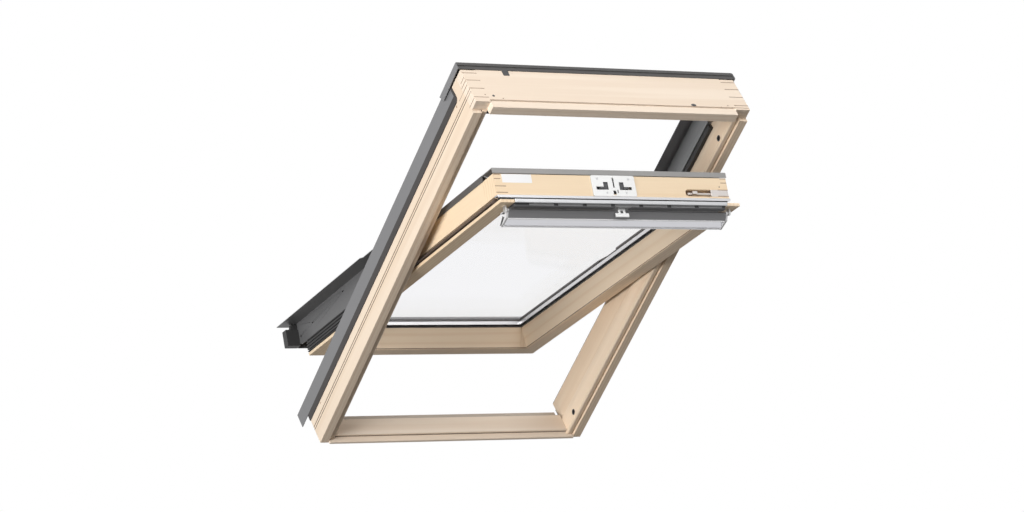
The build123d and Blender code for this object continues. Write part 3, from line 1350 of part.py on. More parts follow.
# Ventilation rail: a lip along the upper edge and a web under the top rail
WEB_FACE = SASH_FLANGE_LEVEL - RAIL_WEB
with BuildPart() as vent_rail:
    with BuildSketch(beside(SASH, -RAIL_HALF)):
        Polygon(
            (RAIL_TOP, SASH_ROOM),
            (RAIL_LIP_IN, SASH_ROOM),
            (RAIL_LIP_IN, WEB_FACE),
            (RAIL_BACK, WEB_FACE),
            (RAIL_BACK, SASH_FLANGE_LEVEL),
            (RAIL_LIP_IN, SASH_FLANGE_LEVEL),
            (RAIL_LIP_IN, RAIL_LIP_HEAD),
            (RAIL_TOP, RAIL_LIP_HEAD),
            align=None,
        )
    extrude(amount=2 * RAIL_HALF)
save(vent_rail.part, "vent_rail")

# Ventilation grille: a row of cells in its face, and a notch for the lock's coupling
CELL_LEVEL = (GRILLE_FOOT + WEB_FACE) / 2
with BuildPart() as vent_grille:
    with BuildSketch(beside(SASH, -GRILLE_HALF)):
        Polygon(
            (GRILLE_FACE, GRILLE_FOOT),
            (GRILLE_BACK, GRILLE_FOOT),
            (GRILLE_BACK, WEB_FACE),
            (GRILLE_FACE, WEB_FACE),
            align=None,
        )
    extrude(amount=2 * GRILLE_HALF)
    with BuildSketch(across(SASH, GRILLE_FACE)):
        with Locations((CELL_SHIFT, CELL_LEVEL)):
            with GridLocations(CELL_SPACING, 0, CELL_COUNT, 1):
                Rectangle(CELL_WIDTH, CELL_HEIGHT)
    extrude(amount=-CELL_DEPTH, mode=Mode.SUBTRACT)
    with BuildSketch(SASH.offset(GRILLE_FOOT)):
        Polygon(
            (COUPLING_START - NOTCH_GAP, GRILLE_FACE),
            (COUPLING_START + COUPLING_WIDTH + NOTCH_GAP, GRILLE_FACE),
            (COUPLING_START + COUPLING_WIDTH + NOTCH_GAP, GRILLE_BACK),
            (COUPLING_START - NOTCH_GAP, GRILLE_BACK),
            align=None,
        )
    extrude(amount=CELL_LEVEL - GRILLE_FOOT, mode=Mode.SUBTRACT)
save(vent_grille.part, "vent_grille")

# Brackets with pins that carry the control bar, under the sash's flanges
BRACKET_IN = BAR_HALF + CAP_THICK + BRACKET_GAP
with BuildPart() as bar_right_bracket:
    with BuildSketch(beside(SASH, BRACKET_IN)):
        Polygon(
            (AXIS_ALONG - BRACKET_HALF, AXIS_LEVEL),
            (AXIS_ALONG + BRACKET_HALF, AXIS_LEVEL),
            (AXIS_ALONG + BRACKET_HALF, SASH_ROOM),
            (AXIS_ALONG - BRACKET_HALF, SASH_ROOM),
            align=None,
        )
        with Locations((AXIS_ALONG, AXIS_LEVEL)):
            Circle(BRACKET_HALF)
    extrude(amount=BRACKET_THICK)
    with BuildSketch(beside(SASH, BRACKET_IN)):
        with Locations((AXIS_ALONG, AXIS_LEVEL)):
            Circle(BAR_PIN_RADIUS)
    extrude(amount=-BAR_PIN_LENGTH)
save(bar_right_bracket.part, "bar_right_bracket")

with BuildPart() as bar_left_bracket:
    mirror(bar_right_bracket.part, about=Plane.YZ)
save(bar_left_bracket.part, "bar_left_bracket")

# Control bar: a dark flap that turns on the pins and a grip bar along its lower edge
with BuildPart() as control_flap:
    with BuildSketch(beside(SASH, -BAR_HALF)):
        Polygon(
            (AXIS_ALONG - BARREL_RADIUS, AXIS_LEVEL),
            FLAP_FRONT,
            FLAP_STEP,
            FLAP_BACK,
            (AXIS_ALONG, AXIS_LEVEL + BARREL_RADIUS),
            align=None,
        )
        with Locations((AXIS_ALONG, AXIS_LEVEL)):
            Circle(BARREL_RADIUS)
    extrude(amount=2 * BAR_HALF)
save(control_flap.part, "control_flap")

with BuildPart() as control_bar:
    with BuildSketch(beside(SASH, -BAR_HALF)):
        Polygon(FLAP_STEP, BAR_TIP_FRONT, BAR_TIP, BAR_TIP_BACK, FLAP_BACK, align=None)
    extrude(amount=2 * BAR_HALF)
save(control_bar.part, "control_bar")

with BuildPart() as bar_right_cap:
    with BuildSketch(beside(SASH, BAR_HALF)):
        Polygon(
            (AXIS_ALONG - BARREL_RADIUS, AXIS_LEVEL),
            FLAP_FRONT,
            BAR_TIP_FRONT,
            BAR_TIP,
            BAR_TIP_BACK,
            (AXIS_ALONG, AXIS_LEVEL + BARREL_RADIUS),
            align=None,
        )
        with Locations((AXIS_ALONG, AXIS_LEVEL)):
            Circle(BARREL_RADIUS + BAR_PIN_RADIUS)
            Circle(BAR_PIN_RADIUS + BAR_PIN_CLEARANCE, mode=Mode.SUBTRACT)
    extrude(amount=CAP_THICK)
save(bar_right_cap.part, "bar_right_cap")

with BuildPart() as bar_left_cap:
    mirror(bar_right_cap.part, about=Plane.YZ)
save(bar_left_cap.part, "bar_left_cap")

# Coupling between the control bar and the lock: a plate on the flap with an upright loop
BASE_HEAD = COUPLING_BASE - COUPLING_FOOT
with BuildPart() as bar_coupling:
    with BuildSketch(across(SASH, AXIS_ALONG - BARREL_RADIUS)):
        with Locations((COUPLING_START + COUPLING_WIDTH / 2, AXIS_LEVEL)):
            Polygon(
                (-COUPLING_WIDTH / 2, -COUPLING_FOOT),
                (COUPLING_WIDTH / 2, -COUPLING_FOOT),
                (COUPLING_WIDTH / 2, BASE_HEAD),
                (LOOP_WIDTH / 2, BASE_HEAD),
                (LOOP_WIDTH / 2, COUPLING_TOP),
                (-LOOP_WIDTH / 2, COUPLING_TOP),
                (-LOOP_WIDTH / 2, BASE_HEAD),
                (-COUPLING_WIDTH / 2, BASE_HEAD),
                align=None,
            )
            Polygon(
                (LOOP_WALL - LOOP_WIDTH / 2, BASE_HEAD),
                (LOOP_WIDTH / 2 - LOOP_WALL, BASE_HEAD),
                (LOOP_WIDTH / 2 - LOOP_WALL, COUPLING_TOP - LOOP_WALL),
                (LOOP_WALL - LOOP_WIDTH / 2, COUPLING_TOP - LOOP_WALL),
                align=None,
                mode=Mode.SUBTRACT,
            )
    extrude(amount=COUPLING_THICK)
save(bar_coupling.part, "bar_coupling")
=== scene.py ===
import math
from collections import namedtuple

import bmesh
import bpy
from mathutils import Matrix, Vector


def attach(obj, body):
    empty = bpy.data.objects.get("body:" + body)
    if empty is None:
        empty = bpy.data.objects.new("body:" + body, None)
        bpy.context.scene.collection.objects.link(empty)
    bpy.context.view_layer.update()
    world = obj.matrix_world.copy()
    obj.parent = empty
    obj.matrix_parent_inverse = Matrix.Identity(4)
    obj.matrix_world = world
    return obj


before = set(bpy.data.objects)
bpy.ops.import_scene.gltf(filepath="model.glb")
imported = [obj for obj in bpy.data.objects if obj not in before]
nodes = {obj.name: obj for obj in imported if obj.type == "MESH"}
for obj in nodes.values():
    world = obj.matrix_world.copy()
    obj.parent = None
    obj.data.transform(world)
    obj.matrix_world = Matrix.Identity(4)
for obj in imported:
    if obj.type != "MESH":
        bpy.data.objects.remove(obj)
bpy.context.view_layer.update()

# The two leaning planes of the part: x right, y down the slope, z outwards, in millimetres
ROOF_PITCH = 45.0
OPEN_AT_REST = 24.7
ROOF = math.radians(ROOF_PITCH)
SASH = math.radians(ROOF_PITCH - OPEN_AT_REST)
MM_PER_M = 1000.0

Corner = namedtuple("Corner", "x y z")
Extent = namedtuple("Extent", "low high")


def place(lean, x, y, z):
    """A point of a leaning plane, in the part's frame, in metres."""
    c = math.cos(lean)
    s = math.sin(lean)
    return Vector((x, y * c + z * s, z * c - y * s)) / MM_PER_M


def extent(node, lean):
    """A node's lowest and highest corners in a leaning plane."""
    c = math.cos(lean)
    s = math.sin(lean)
    points = [vertex.co * MM_PER_M for vertex in nodes[node].data.vertices]
    axes = (
        [p.x for p in points],
        [p.y * c - p.z * s for p in points],
        [p.y * s + p.z * c for p in points],
    )
    low = Corner(*(round(min(axis), 2) for axis in axes))
    high = Corner(*(round(max(axis), 2) for axis in axes))
    return Extent(low, high)


# Node trees

# Sockets of the colour mix node, which share their names with hidden ones
MIX_FACTOR, MIX_A, MIX_B, MIX_RESULT = 0, 6, 7, 2


class Tree:
    """A node tree with short ways to add and feed nodes."""

    def __init__(self, tree):
        self.tree = tree

    def feed(self, node, inputs):
        """Give each input a constant or another node's output."""
        for key, value in inputs.items():
            socket = node.inputs[key]
            if isinstance(value, bpy.types.NodeSocket):
                self.tree.links.new(value, socket)
            elif socket.type == "RGBA":
                socket.default_value = (*value, 1.0)
            else:
                socket.default_value = value

    def add(self, kind, inputs=None, **settings):
        node = self.tree.nodes.new(kind)
        for key, value in settings.items():
            setattr(node, key, value)
        self.feed(node, inputs or {})
        return node

    def ramp(self, source, stops):
        node = self.add("ShaderNodeValToRGB", {"Fac": source})
        elements = node.color_ramp.elements
        while len(elements) < len(stops):
            elements.new(0.5)
        for element, (at, grey) in zip(elements, stops):
            element.position = at
            element.color = (grey, grey, grey, 1.0)
        return node.outputs["Color"]

    def mix(self, kind, factor, a, b):
        inputs = {MIX_FACTOR: factor, MIX_A: a, MIX_B: b}
        return self.add("ShaderNodeMix", inputs, data_type="RGBA", blend_type=kind).outputs[MIX_RESULT]

    def span(self, source, low, high, start=0.0, end=1.0):
        """Map a value that runs from start to end onto low to high."""
        inputs = {"Value": source, "From Min": start, "From Max": end, "To Min": low, "To Max": high}
        return self.add("ShaderNodeMapRange", inputs).outputs["Result"]

    def most(self, first, second):
        """The larger of two values."""
        return self.add("ShaderNodeMath", {0: first, 1: second}, operation="MAXIMUM").outputs["Value"]

    def either(self, factor, first, second):
        """One shader where the factor is 0 and the other where it is 1."""
        return self.add("ShaderNodeMixShader", {"Fac": factor, 1: first, 2: second}).outputs["Shader"]

    def coords(self, lean, scale=(1.0, 1.0, 1.0), shift=(0.0, 0.0, 0.0)):
        """Object coordinates turned into a leaning plane, then stretched."""
        where = self.add("ShaderNodeTexCoord").outputs["Object"]
        level = self.add("ShaderNodeMapping", {"Vector": where, "Rotation": (lean, 0.0, 0.0)})
        inputs = {"Vector": level.outputs["Vector"], "Scale": scale, "Location": shift}
        return self.add("ShaderNodeMapping", inputs).outputs["Vector"]

    def noise(self, coords, detail, rough, scale=1.0, distort=0.0):
        inputs = {
            "Vector": coords, "Scale": scale, "Detail": detail, "Roughness": rough, "Distortion": distort,
        }
        return self.add("ShaderNodeTexNoise", inputs).outputs["Fac"]

    def bump(self, height, strength, distance):
        inputs = {"Height": height, "Strength": strength, "Distance": distance}
        return self.add("ShaderNodeBump", inputs).outputs["Normal"]


def new_material(name):
    """A material, its node tree and its main shader."""
    mat = bpy.data.materials.new(name)
    mat.use_nodes = True
    return mat, Tree(mat.node_tree), mat.node_tree.nodes["Principled BSDF"]


# Materials


def grain(run, along, across):
    """Texture scale for a piece that runs along x or along y."""
    return (along, across, across) if run == "x" else (across, along, across)


# Growth lines of the pine: wave height and how dark it is
GROWTH_STOPS = ((0.0, 0.0), (0.72, 0.25), (1.0, 1.0))


def pine(name, lean, run, tones, shift):
    """Lacquered pine: long growth lines along the piece, fine pores and a soft sheen."""
    mat, tree, shader = new_material(name)
    pale, deep = tones
    deep_share = 0.45
    middle = tuple((1.0 - deep_share) * p + deep_share * d for p, d in zip(pale, deep))
    growth = tree.coords(lean, grain(run, along=0.9, across=30.0), shift)
    waves = tree.add(
        "ShaderNodeTexWave",
        {"Vector": growth, "Scale": 1.0, "Distortion": 5.0, "Detail": 3.0, "Detail Scale": 0.6},
        wave_type="BANDS",
        bands_direction="Y" if run == "x" else "X",
    )
    lines = tree.ramp(waves.outputs["Fac"], GROWTH_STOPS)
    broad = tree.noise(growth, detail=3.0, rough=0.5, scale=0.55, distort=0.6)
    pores = tree.noise(tree.coords(lean, grain(run, along=6.0, across=420.0), shift), detail=3.0, rough=0.6)
    tone = tree.mix("MIX", broad, pale, middle)
    tone = tree.mix("MIX", tree.span(lines, low=0.0, high=0.34), tone, deep)
    tone = tree.mix("MULTIPLY", tree.span(pores, low=0.0, high=0.16), tone, deep)
    tree.feed(shader, {
        "Base Color": tone,
        "Roughness": tree.span(pores, low=0.5, high=0.64),
        "Specular IOR Level": 0.22,
        "Coat Weight": 0.03,
        "Coat Roughness": 0.4,
        "Normal": tree.bump(pores, strength=0.12, distance=0.0004),
    })
    return mat


def coated(name, lean, colour, rough):
    """Coated sheet metal: a faint orange-peel skin, dust and a slightly rubbed tone."""
    mat, tree, shader = new_material(name)
    where = tree.coords(lean)
    peel = tree.noise(where, detail=2.0, rough=0.5, scale=900.0)
    dust = tree.noise(where, detail=5.0, rough=0.6, scale=7.0)
    gain = 1.25
    lift = 0.006
    light = tuple(c * gain + lift for c in colour)
    tree.feed(shader, {
        "Base Color": tree.mix("MIX", dust, colour, light),
        "Roughness": tree.span(dust, low=rough - 0.06, high=rough + 0.08),
        "Normal": tree.bump(peel, strength=0.06, distance=0.0003),
    })
    return mat


def brushed(name, lean, colour, rough, run="x", metal=1.0):
    """Metal, or plastic with a metal look, drawn along its length: fine streaks in shine and colour."""
    mat, tree, shader = new_material(name)
    streaks = tree.noise(tree.coords(lean, grain(run, along=3.0, across=900.0)), detail=4.0, rough=0.6)
    cloud = tree.noise(tree.coords(lean), detail=4.0, rough=0.55, scale=14.0)
    shade_share = 0.82
    shade = tuple(c * shade_share for c in colour)
    tone = tree.mix("MIX", streaks, shade, colour)
    tone = tree.mix("MULTIPLY", tree.span(cloud, low=0.0, high=0.12), tone, shade)
    tree.feed(shader, {
        "Base Color": tone,
        "Roughness": tree.span(streaks, low=rough - 0.08, high=rough + 0.1),
        "Metallic": metal,
        "Normal": tree.bump(streaks, strength=0.08, distance=0.0002),
    })
    return mat


def moulded(name, lean, colour, rough, fineness):
    """Rubber, moulded plastic, glue, or painted shade and highlights: fine grain and a dusty, uneven tone.
    """
    mat, tree, shader = new_material(name)
    where = tree.coords(lean)
    fine = tree.noise(where, detail=3.0, rough=0.6, scale=fineness)
    dust = tree.noise(where, detail=5.0, rough=0.6, scale=11.0)
    gain = 1.6
    lift = 0.012
    most_lift = 0.06
    light = tuple(min(c * gain + lift, c + most_lift) for c in colour)
    tree.feed(shader, {
        "Base Color": tree.mix("MIX", dust, colour, light),
        "Roughness": tree.span(fine, low=rough - 0.08, high=rough + 0.1),
        "Normal": tree.bump(fine, strength=0.15, distance=0.0003),
    })
    return mat


def glazing(name):
    """Clear float glass: nearly see-through, with a cool mirror and a trace of streaks in its polish."""
    mat, tree, shader = new_material(name)
    cool = (0.34, 0.34, 0.45)
    cool_light = (0.40, 0.40, 0.50)
    wipe = tree.noise(tree.coords(SASH, scale=(2.0, 9.0, 2.0)), detail=4.0, rough=0.55, scale=2.0)
    tree.feed(shader, {
        "Base Color": tree.mix("MIX", wipe, cool, cool_light),
        "Roughness": tree.span(wipe, low=0.0, high=0.03),
        "Metallic": 1.0,
        "Alpha": 0.045,
    })
    return mat


# Pale and deep tones of the pine, by where the timber sits
LEFT_PINE = ((0.93, 0.815, 0.68), (0.68, 0.50, 0.34))
RIGHT_PINE = ((0.94, 0.81, 0.65), (0.70, 0.50, 0.33))
CROSS_PINE = ((0.94, 0.84, 0.72), (0.72, 0.56, 0.42))
SASH_PINE = ((0.93, 0.78, 0.58), (0.66, 0.45, 0.25))
LOW_PINE = ((0.96, 0.83, 0.66), (0.76, 0.55, 0.36))

frame_side_left = pine("pine_frame_left", ROOF, "y", LEFT_PINE, shift=(0.3, 0.0, 0.1))
frame_side_right = pine("pine_frame_right", ROOF, "y", RIGHT_PINE, shift=(1.7, 0.4, 0.6))
frame_cross_top = pine("pine_frame_top", ROOF, "x", CROSS_PINE, shift=(0.2, 1.3, 0.5))
frame_cross_low = pine("pine_frame_low", ROOF, "x", CROSS_PINE, shift=(0.8, 2.3, 0.2))
sash_side_left = pine("pine_sash_left", SASH, "y", SASH_PINE, shift=(2.3, 0.7, 0.9))
sash_side_right = pine("pine_sash_right", SASH, "y", LOW_PINE, shift=(3.1, 0.2, 1.4))
sash_cross_top = pine("pine_sash_top", SASH, "x", SASH_PINE, shift=(0.4, 3.7, 0.3))
sash_cross_low = pine("pine_sash_low", SASH, "x", LOW_PINE, shift=(1.4, 4.1, 0.7))

# Dark brown for glue lines and nail heads, and for painted shade lines along steps, grooves and the sash's
# bevel
glue_and_painted_shade = moulded("glue_and_painted_shade", ROOF, (0.25, 0.15, 0.09), rough=0.6, fineness=700.0)
# Painted shade: dark brown for the shade inside the frame's grooves and lining slots
painted_slot_shade = moulded("painted_slot_shade", ROOF, (0.11, 0.065, 0.04), rough=0.7, fineness=700.0)

hood_metal = coated("coated_hood", ROOF, (0.042, 0.04, 0.039), rough=0.42)
# Painted light: the hood's end plates are the hood's dark grey made lighter, for the light on their outer
# faces
hood_end_painted_light = coated("coated_hood_end_painted_light", ROOF, (0.16, 0.16, 0.165), rough=0.4)
# Painted light: the frame's side covers are the same dark grey cladding made lighter, for the light they
# reflect
side_metal_painted_light = coated("coated_side_painted_light", ROOF, (0.15, 0.15, 0.155), rough=0.4)
sill_metal = coated("coated_sill", ROOF, (0.46, 0.39, 0.33), rough=0.45)
# Painted light: the sash's top cover is the same cladding made lighter, for the light on its front
top_metal_painted_light = coated("coated_sash_top_painted_light", SASH, (0.26, 0.255, 0.25), rough=0.4)
sash_metal = coated("coated_sash", SASH, (0.075, 0.073, 0.073), rough=0.42)
lower_metal = coated("coated_lower", SASH, (0.10, 0.10, 0.102), rough=0.42)

frame_rubber = moulded("rubber_frame", ROOF, (0.018, 0.0175, 0.0175), rough=0.62, fineness=900.0)
# Black rubber of the sash's gaskets, also used for painted shade along the pane's outer edge
sash_rubber_and_shade = moulded("rubber_sash_and_shade", SASH, (0.016, 0.0155, 0.0155), rough=0.6, fineness=900.0)
band_rubber = moulded("rubber_band", ROOF, (0.022, 0.019, 0.018), rough=0.65, fineness=800.0)
brown_rubber = moulded("rubber_brown", SASH, (0.055, 0.035, 0.026), rough=0.62, fineness=900.0)

# Dark plastic of the grille, also used for painted shade on the sash behind it
dark_plastic_and_shade = moulded("plastic_dark_and_shade", SASH, (0.04, 0.04, 0.042), rough=0.45, fineness=1200.0)
frame_plastic = moulded("plastic_frame", ROOF, (0.03, 0.03, 0.032), rough=0.45, fineness=1200.0)
cap_plastic = moulded("plastic_cap", SASH, (0.62, 0.62, 0.63), rough=0.45, fineness=1200.0)
flap_plastic = brushed("plastic_flap", SASH, (0.19, 0.19, 0.195), rough=0.42, metal=0.3)
filter_pad = moulded("filter_pad", SASH, (0.36, 0.36, 0.365), rough=0.8, fineness=500.0)
# Painted highlight: white for the light caught along the control bar's edges
painted_highlight_white = moulded("painted_highlight_white", SASH, (0.82, 0.82, 0.83), rough=0.4, fineness=1500.0)
label_white = moulded("label_white", SASH, (0.80, 0.80, 0.805), rough=0.5, fineness=1500.0)

liner_alu = brushed("aluminium_liner", ROOF, (0.26, 0.265, 0.27), rough=0.45, run="y", metal=0.6)
rail_alu = brushed("aluminium_rail", SASH, (0.54, 0.545, 0.555), rough=0.42)
strip_alu = brushed("aluminium_strip", SASH, (0.58, 0.58, 0.595), rough=0.4)
bar_alu = brushed("aluminium_bar", SASH, (0.70, 0.70, 0.73), rough=0.32)
edge_alu = brushed("aluminium_edge", SASH, (0.88, 0.88, 0.89), rough=0.36)

lock_steel = brushed("steel_lock", SASH, (0.70, 0.70, 0.695), rough=0.4)
bolt_steel = brushed("steel_bolt", SASH, (0.64, 0.60, 0.575), rough=0.36)
latch_steel = brushed("steel_latch", SASH, (0.09, 0.09, 0.095), rough=0.4, metal=0.7)
frame_steel = brushed("steel_frame", ROOF, (0.62, 0.62, 0.63), rough=0.35)

glass = glazing("glass_clear")

FINISH = {
    frame_side_left: ["frame_left_member"],
    frame_side_right: ["frame_right_member"],
    frame_cross_top: ["frame_top_member"],
    frame_cross_low: ["frame_bottom_member"],
    sash_side_left: ["sash_left_member"],
    sash_side_right: ["sash_right_member"],
    sash_cross_top: ["sash_top_rail"],
    sash_cross_low: ["sash_bottom_rail"],
    hood_metal: ["frame_top_cover"],
    hood_end_painted_light: ["hood_left_end", "hood_right_end"],
    side_metal_painted_light: ["frame_left_cover", "frame_right_cover"],
    sill_metal: ["frame_bottom_cover"],
    top_metal_painted_light: ["sash_top_cover"],
    sash_metal: ["sash_left_upper_cover", "sash_right_upper_cover"],
    lower_metal: ["sash_left_lower_cover", "sash_right_lower_cover", "sash_bottom_cover"],
    frame_rubber: ["frame_left_seal", "frame_right_seal", "frame_top_seal"],
    band_rubber: ["frame_left_gasket", "frame_right_gasket"],
    sash_rubber_and_shade: [
        "glazing_gasket", "sash_left_cap", "sash_right_cap", "sash_top_gasket",
        "sash_left_lower_gasket", "sash_right_lower_gasket",
    ],
    brown_rubber: ["sash_left_upper_gasket", "sash_right_upper_gasket"],
    dark_plastic_and_shade: ["vent_grille"],
    cap_plastic: ["bar_left_cap", "bar_right_cap"],
    flap_plastic: ["control_flap"],
    frame_plastic: ["hood_clip", "bolt_bush_vent", "bolt_bush_cleaning"],
    liner_alu: ["frame_left_liner", "frame_right_liner"],
    rail_alu: ["vent_rail"],
    edge_alu: ["pane_spacer"],
    bar_alu: ["control_bar"],
    lock_steel: [
        "lock_plate", "lock_case", "sash_left_hinge", "sash_right_hinge",
        "bar_left_bracket", "bar_right_bracket", "bar_coupling",
    ],
    bolt_steel: ["bolt_housing", "barrel_bolt"],
    latch_steel: ["lock_latch"],
    frame_steel: ["frame_left_hinge", "frame_right_hinge", "lock_striker"],
    glass: ["pane_inner", "pane_outer"],
}

# Rounded edges, in metres: by the last word of a node's name, and for all others
EDGE_WIDTH = {"member": 0.0013, "rail": 0.0011, "cover": 0.0004, "gasket": 0.0008, "seal": 0.0008}
PLAIN_EDGE_WIDTH = 0.0005
EDGE_ANGLE = math.radians(35.0)
WELD_DISTANCE = 0.00002
NORMAL_WEIGHT = 60
KEPT_SHARP = ("pane_inner", "pane_outer", "pane_spacer", "glazing_gasket")


def round_edges(obj, width):
    """Bevel the edges that are sharper than EDGE_ANGLE."""
    bevel = obj.modifiers.new("edges", "BEVEL")
    bevel.width = width
    bevel.segments = 2
    bevel.limit_method = "ANGLE"
    bevel.angle_limit = EDGE_ANGLE


def soften(obj, width):
    """Round the sharp edges of a solid so that they catch light."""
    weld = obj.modifiers.new("weld", "WELD")
    weld.merge_threshold = WELD_DISTANCE
    round_edges(obj, width)
    normals = obj.modifiers.new("normals", "WEIGHTED_NORMAL")
    normals.weight = NORMAL_WEIGHT


def dress(node, material):
    """Give a solid its material and its rounded edges."""
    obj = nodes[node]
    obj.data.materials.clear()
    obj.data.materials.append(material)
    if node not in KEPT_SHARP:
        last_word = node.rsplit("_", 1)[-1]
        soften(obj, EDGE_WIDTH.get(last_word, PLAIN_EDGE_WIDTH))


for material, dressed in FINISH.items():
    for node in dressed:
        dress(node, material)

# Ways to build the small pieces that the solids leave out

BOTH_SIDES = (-1, 1)
UP_SLOPE = (0, -1, 0)
RIGHTWARDS = (1, 0, 0)


def finish_piece(name, bm, material, body, edge):
    """Turn a built mesh into a piece that rides on a body."""
    mesh = bpy.data.meshes.new(name)
    bmesh.ops.recalc_face_normals(bm, faces=bm.faces)
    bm.to_mesh(mesh)
    bm.free()
    obj = bpy.data.objects.new(name, mesh)
    bpy.context.scene.collection.objects.link(obj)
    obj.data.materials.append(material)
    if edge:
        round_edges(obj, edge)
    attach(obj, body)


def sweep_x(profile, start, end):
    """A prism with a profile of (y, z) points."""
    return [(start, y, z) for y, z in profile], (end - start, 0, 0)


def sweep_y(profile, start, end):
    """A prism with a profile of (x, z) points."""
    return [(x, start, z) for x, z in profile], (0, end - start, 0)


def block(xs, ys, zs):
    """A rectangular prism between two values on each axis."""
    corners = ((xs[0], zs[0]), (xs[1], zs[0]), (xs[1], zs[1]), (xs[0], zs[1]))
    return sweep_y(corners, *ys)


def about(middle, half):
    """The two ends of a stretch, from its middle and half its length."""
    return (middle - half, middle + half)


def prisms(name, lean, shapes, material, body, edge=0.0):
    """Flat-sided pieces: each has corners in a leaning plane and a vector it is swept along."""
    bm = bmesh.new()
    for corners, sweep in shapes:
        low = [bm.verts.new(place(lean, *c)) for c in corners]
        high = [bm.verts.new(place(lean, *(a + b for a, b in zip(c, sweep)))) for c in corners]
        bm.faces.new(low)
        bm.faces.new(list(reversed(high)))
        for i in range(len(low)):
            j = (i + 1) % len(low)
            bm.faces.new((low[j], low[i], high[i], high[j]))
    finish_piece(name, bm, material, body, edge)


def turned(name, lean, centres, axis, rings, material, body, sides=20, squash=1.0):
    """Turned pieces: rings of (radius, height along the axis) about each centre."""
    bm = bmesh.new()
    along = Vector(axis)
    side = Vector((1, 0, 0)) if abs(along.x) < 0.5 else Vector((0, 1, 0))
    other = along.cross(side)
    for centre in centres:
        loops = []
        for radius, height in rings:
            loop = []
            for i in range(sides):
                a = 2.0 * math.pi * i / sides
                spot = side * (radius * math.cos(a)) + other * (radius * squash * math.sin(a))
                loop.append(bm.verts.new(place(lean, *(Vector(centre) + along * height + spot))))
            loops.append(loop)
        for one, two in zip(loops, loops[1:]):
            for i in range(sides):
                j = (i + 1) % sides
                bm.faces.new((one[i], one[j], two[j], two[i]))
        bm.faces.new(list(reversed(loops[0])))
        bm.faces.new(loops[-1])
    finish_piece(name, bm, material, body, edge=0.0)


def head(radius):
    """Rings of a low fastener head with a softened rim."""
    rim = 0.25
    crown = 0.4
    crown_radius = 0.6 * radius
    return [(radius, 0.0), (radius, rim), (crown_radius, crown)]


# Faces of the solids that carry the small pieces, in millimetres of their plane
frame_top = extent("frame_top_member", ROOF)
frame_side = extent("frame_right_member", ROOF)
sash_top = extent("sash_top_rail", SASH)
sash_side = extent("sash_right_member", SASH)
spacer = extent("pane_spacer", SASH)
grille = extent("vent_grille", SASH)
bar_cap = extent("bar_right_cap", SASH)
lock_plate = extent("lock_plate", SASH)
FRAME_FRONT = frame_top.low.y
FRAME_OUTSIDE = frame_top.high.x
SIDE_INSIDE = frame_side.low.x
SIDE_UPPER_END = frame_side.low.y
SIDE_LOWER_END = frame_side.high.y
SASH_FRONT = sash_top.low.y
SASH_OUTSIDE = sash_top.high.x
SASH_ROOM = sash_side.low.z
LOCK_FRONT = lock_plate.low.y

# Glue lines of the timber, and heights of its outer grooves, which are filled with painted shade
LINE_THICK = 0.12
GROOVE_HEIGHTS = (-82.5, -74.5)


def label_plate():
    """Bare label on the sash's upper edge."""
    width = 82.0
    height = 22.0
    thick = 0.3
    inset = 22.0
    top_gap = 0.5
    left = inset - SASH_OUTSIDE
    top = sash_top.high.z - top_gap
    plate = block((left, left + width), (SASH_FRONT, SASH_FRONT - thick), (top - height, top))
    prisms("label_plate", SASH, [plate], label_white, "sash", edge=0.0001)


def frame_glue_and_shade_lines():
    """Glue lines of the finger joints at the frame's upper corners, with painted shade lines along the
    lip's step and in line with the outer grooves.
    """
    half = 1.0
    thin_half = 0.7
    front_heights = (-17.0, -42.8, -71.6, -102.7)
    # Painted shade line along the step at the top of the lip
    lip_shade_line = (-112.2, -110.6)
    # Height of a line on the outer side faces, and its end from the side member's upper end
    side_lines = ((-33.3, -7.0), (-45.0, 0.0), (-57.5, 0.0), (-106.2, 0.0))
    # Painted shade: lines at the groove heights carry the grooves' shade across the corner
    side_lines += tuple((z, 0.0) for z in GROOVE_HEIGHTS)
    member_lines = ((-57.5, 28.0), (-106.2, 5.0))
    on_front = (FRAME_FRONT, FRAME_FRONT - LINE_THICK)
    shapes = [block((-SIDE_INSIDE, FRAME_OUTSIDE), on_front, lip_shade_line)]
    for way in BOTH_SIDES:
        corner = (way * SIDE_INSIDE, way * FRAME_OUTSIDE)
        on_side = (way * FRAME_OUTSIDE, way * (FRAME_OUTSIDE + LINE_THICK))
        for z in front_heights:
            shapes.append(block(corner, on_front, about(z, half)))
        for z, end in side_lines:
            shapes.append(block(on_side, (FRAME_FRONT, SIDE_UPPER_END + end), about(z, half)))
        for z, end in member_lines:
            shapes.append(block(on_side, (SIDE_UPPER_END, SIDE_UPPER_END + end), about(z, thin_half)))
    prisms("frame_glue_and_shade_lines", ROOF, shapes, glue_and_painted_shade, "frame")


def sash_joint_lines():
    """Glue lines of the finger joints at both ends of the sash's front."""
    half = 0.9
    # Height of a line, and how far it reaches in from the sash's side
    lines = ((-7.8, 18.0), (-18.7, 18.0), (-37.6, 30.0), (-54.0, 32.0))
    on_front = (SASH_FRONT, SASH_FRONT - LINE_THICK)
    shapes = []
    for way in BOTH_SIDES:
        for z, reach in lines:
            ends = (way * (SASH_OUTSIDE - reach), way * SASH_OUTSIDE)
            shapes.append(block(ends, on_front, about(z, half)))
    prisms("sash_joint_lines", SASH, shapes, glue_and_painted_shade, "sash")


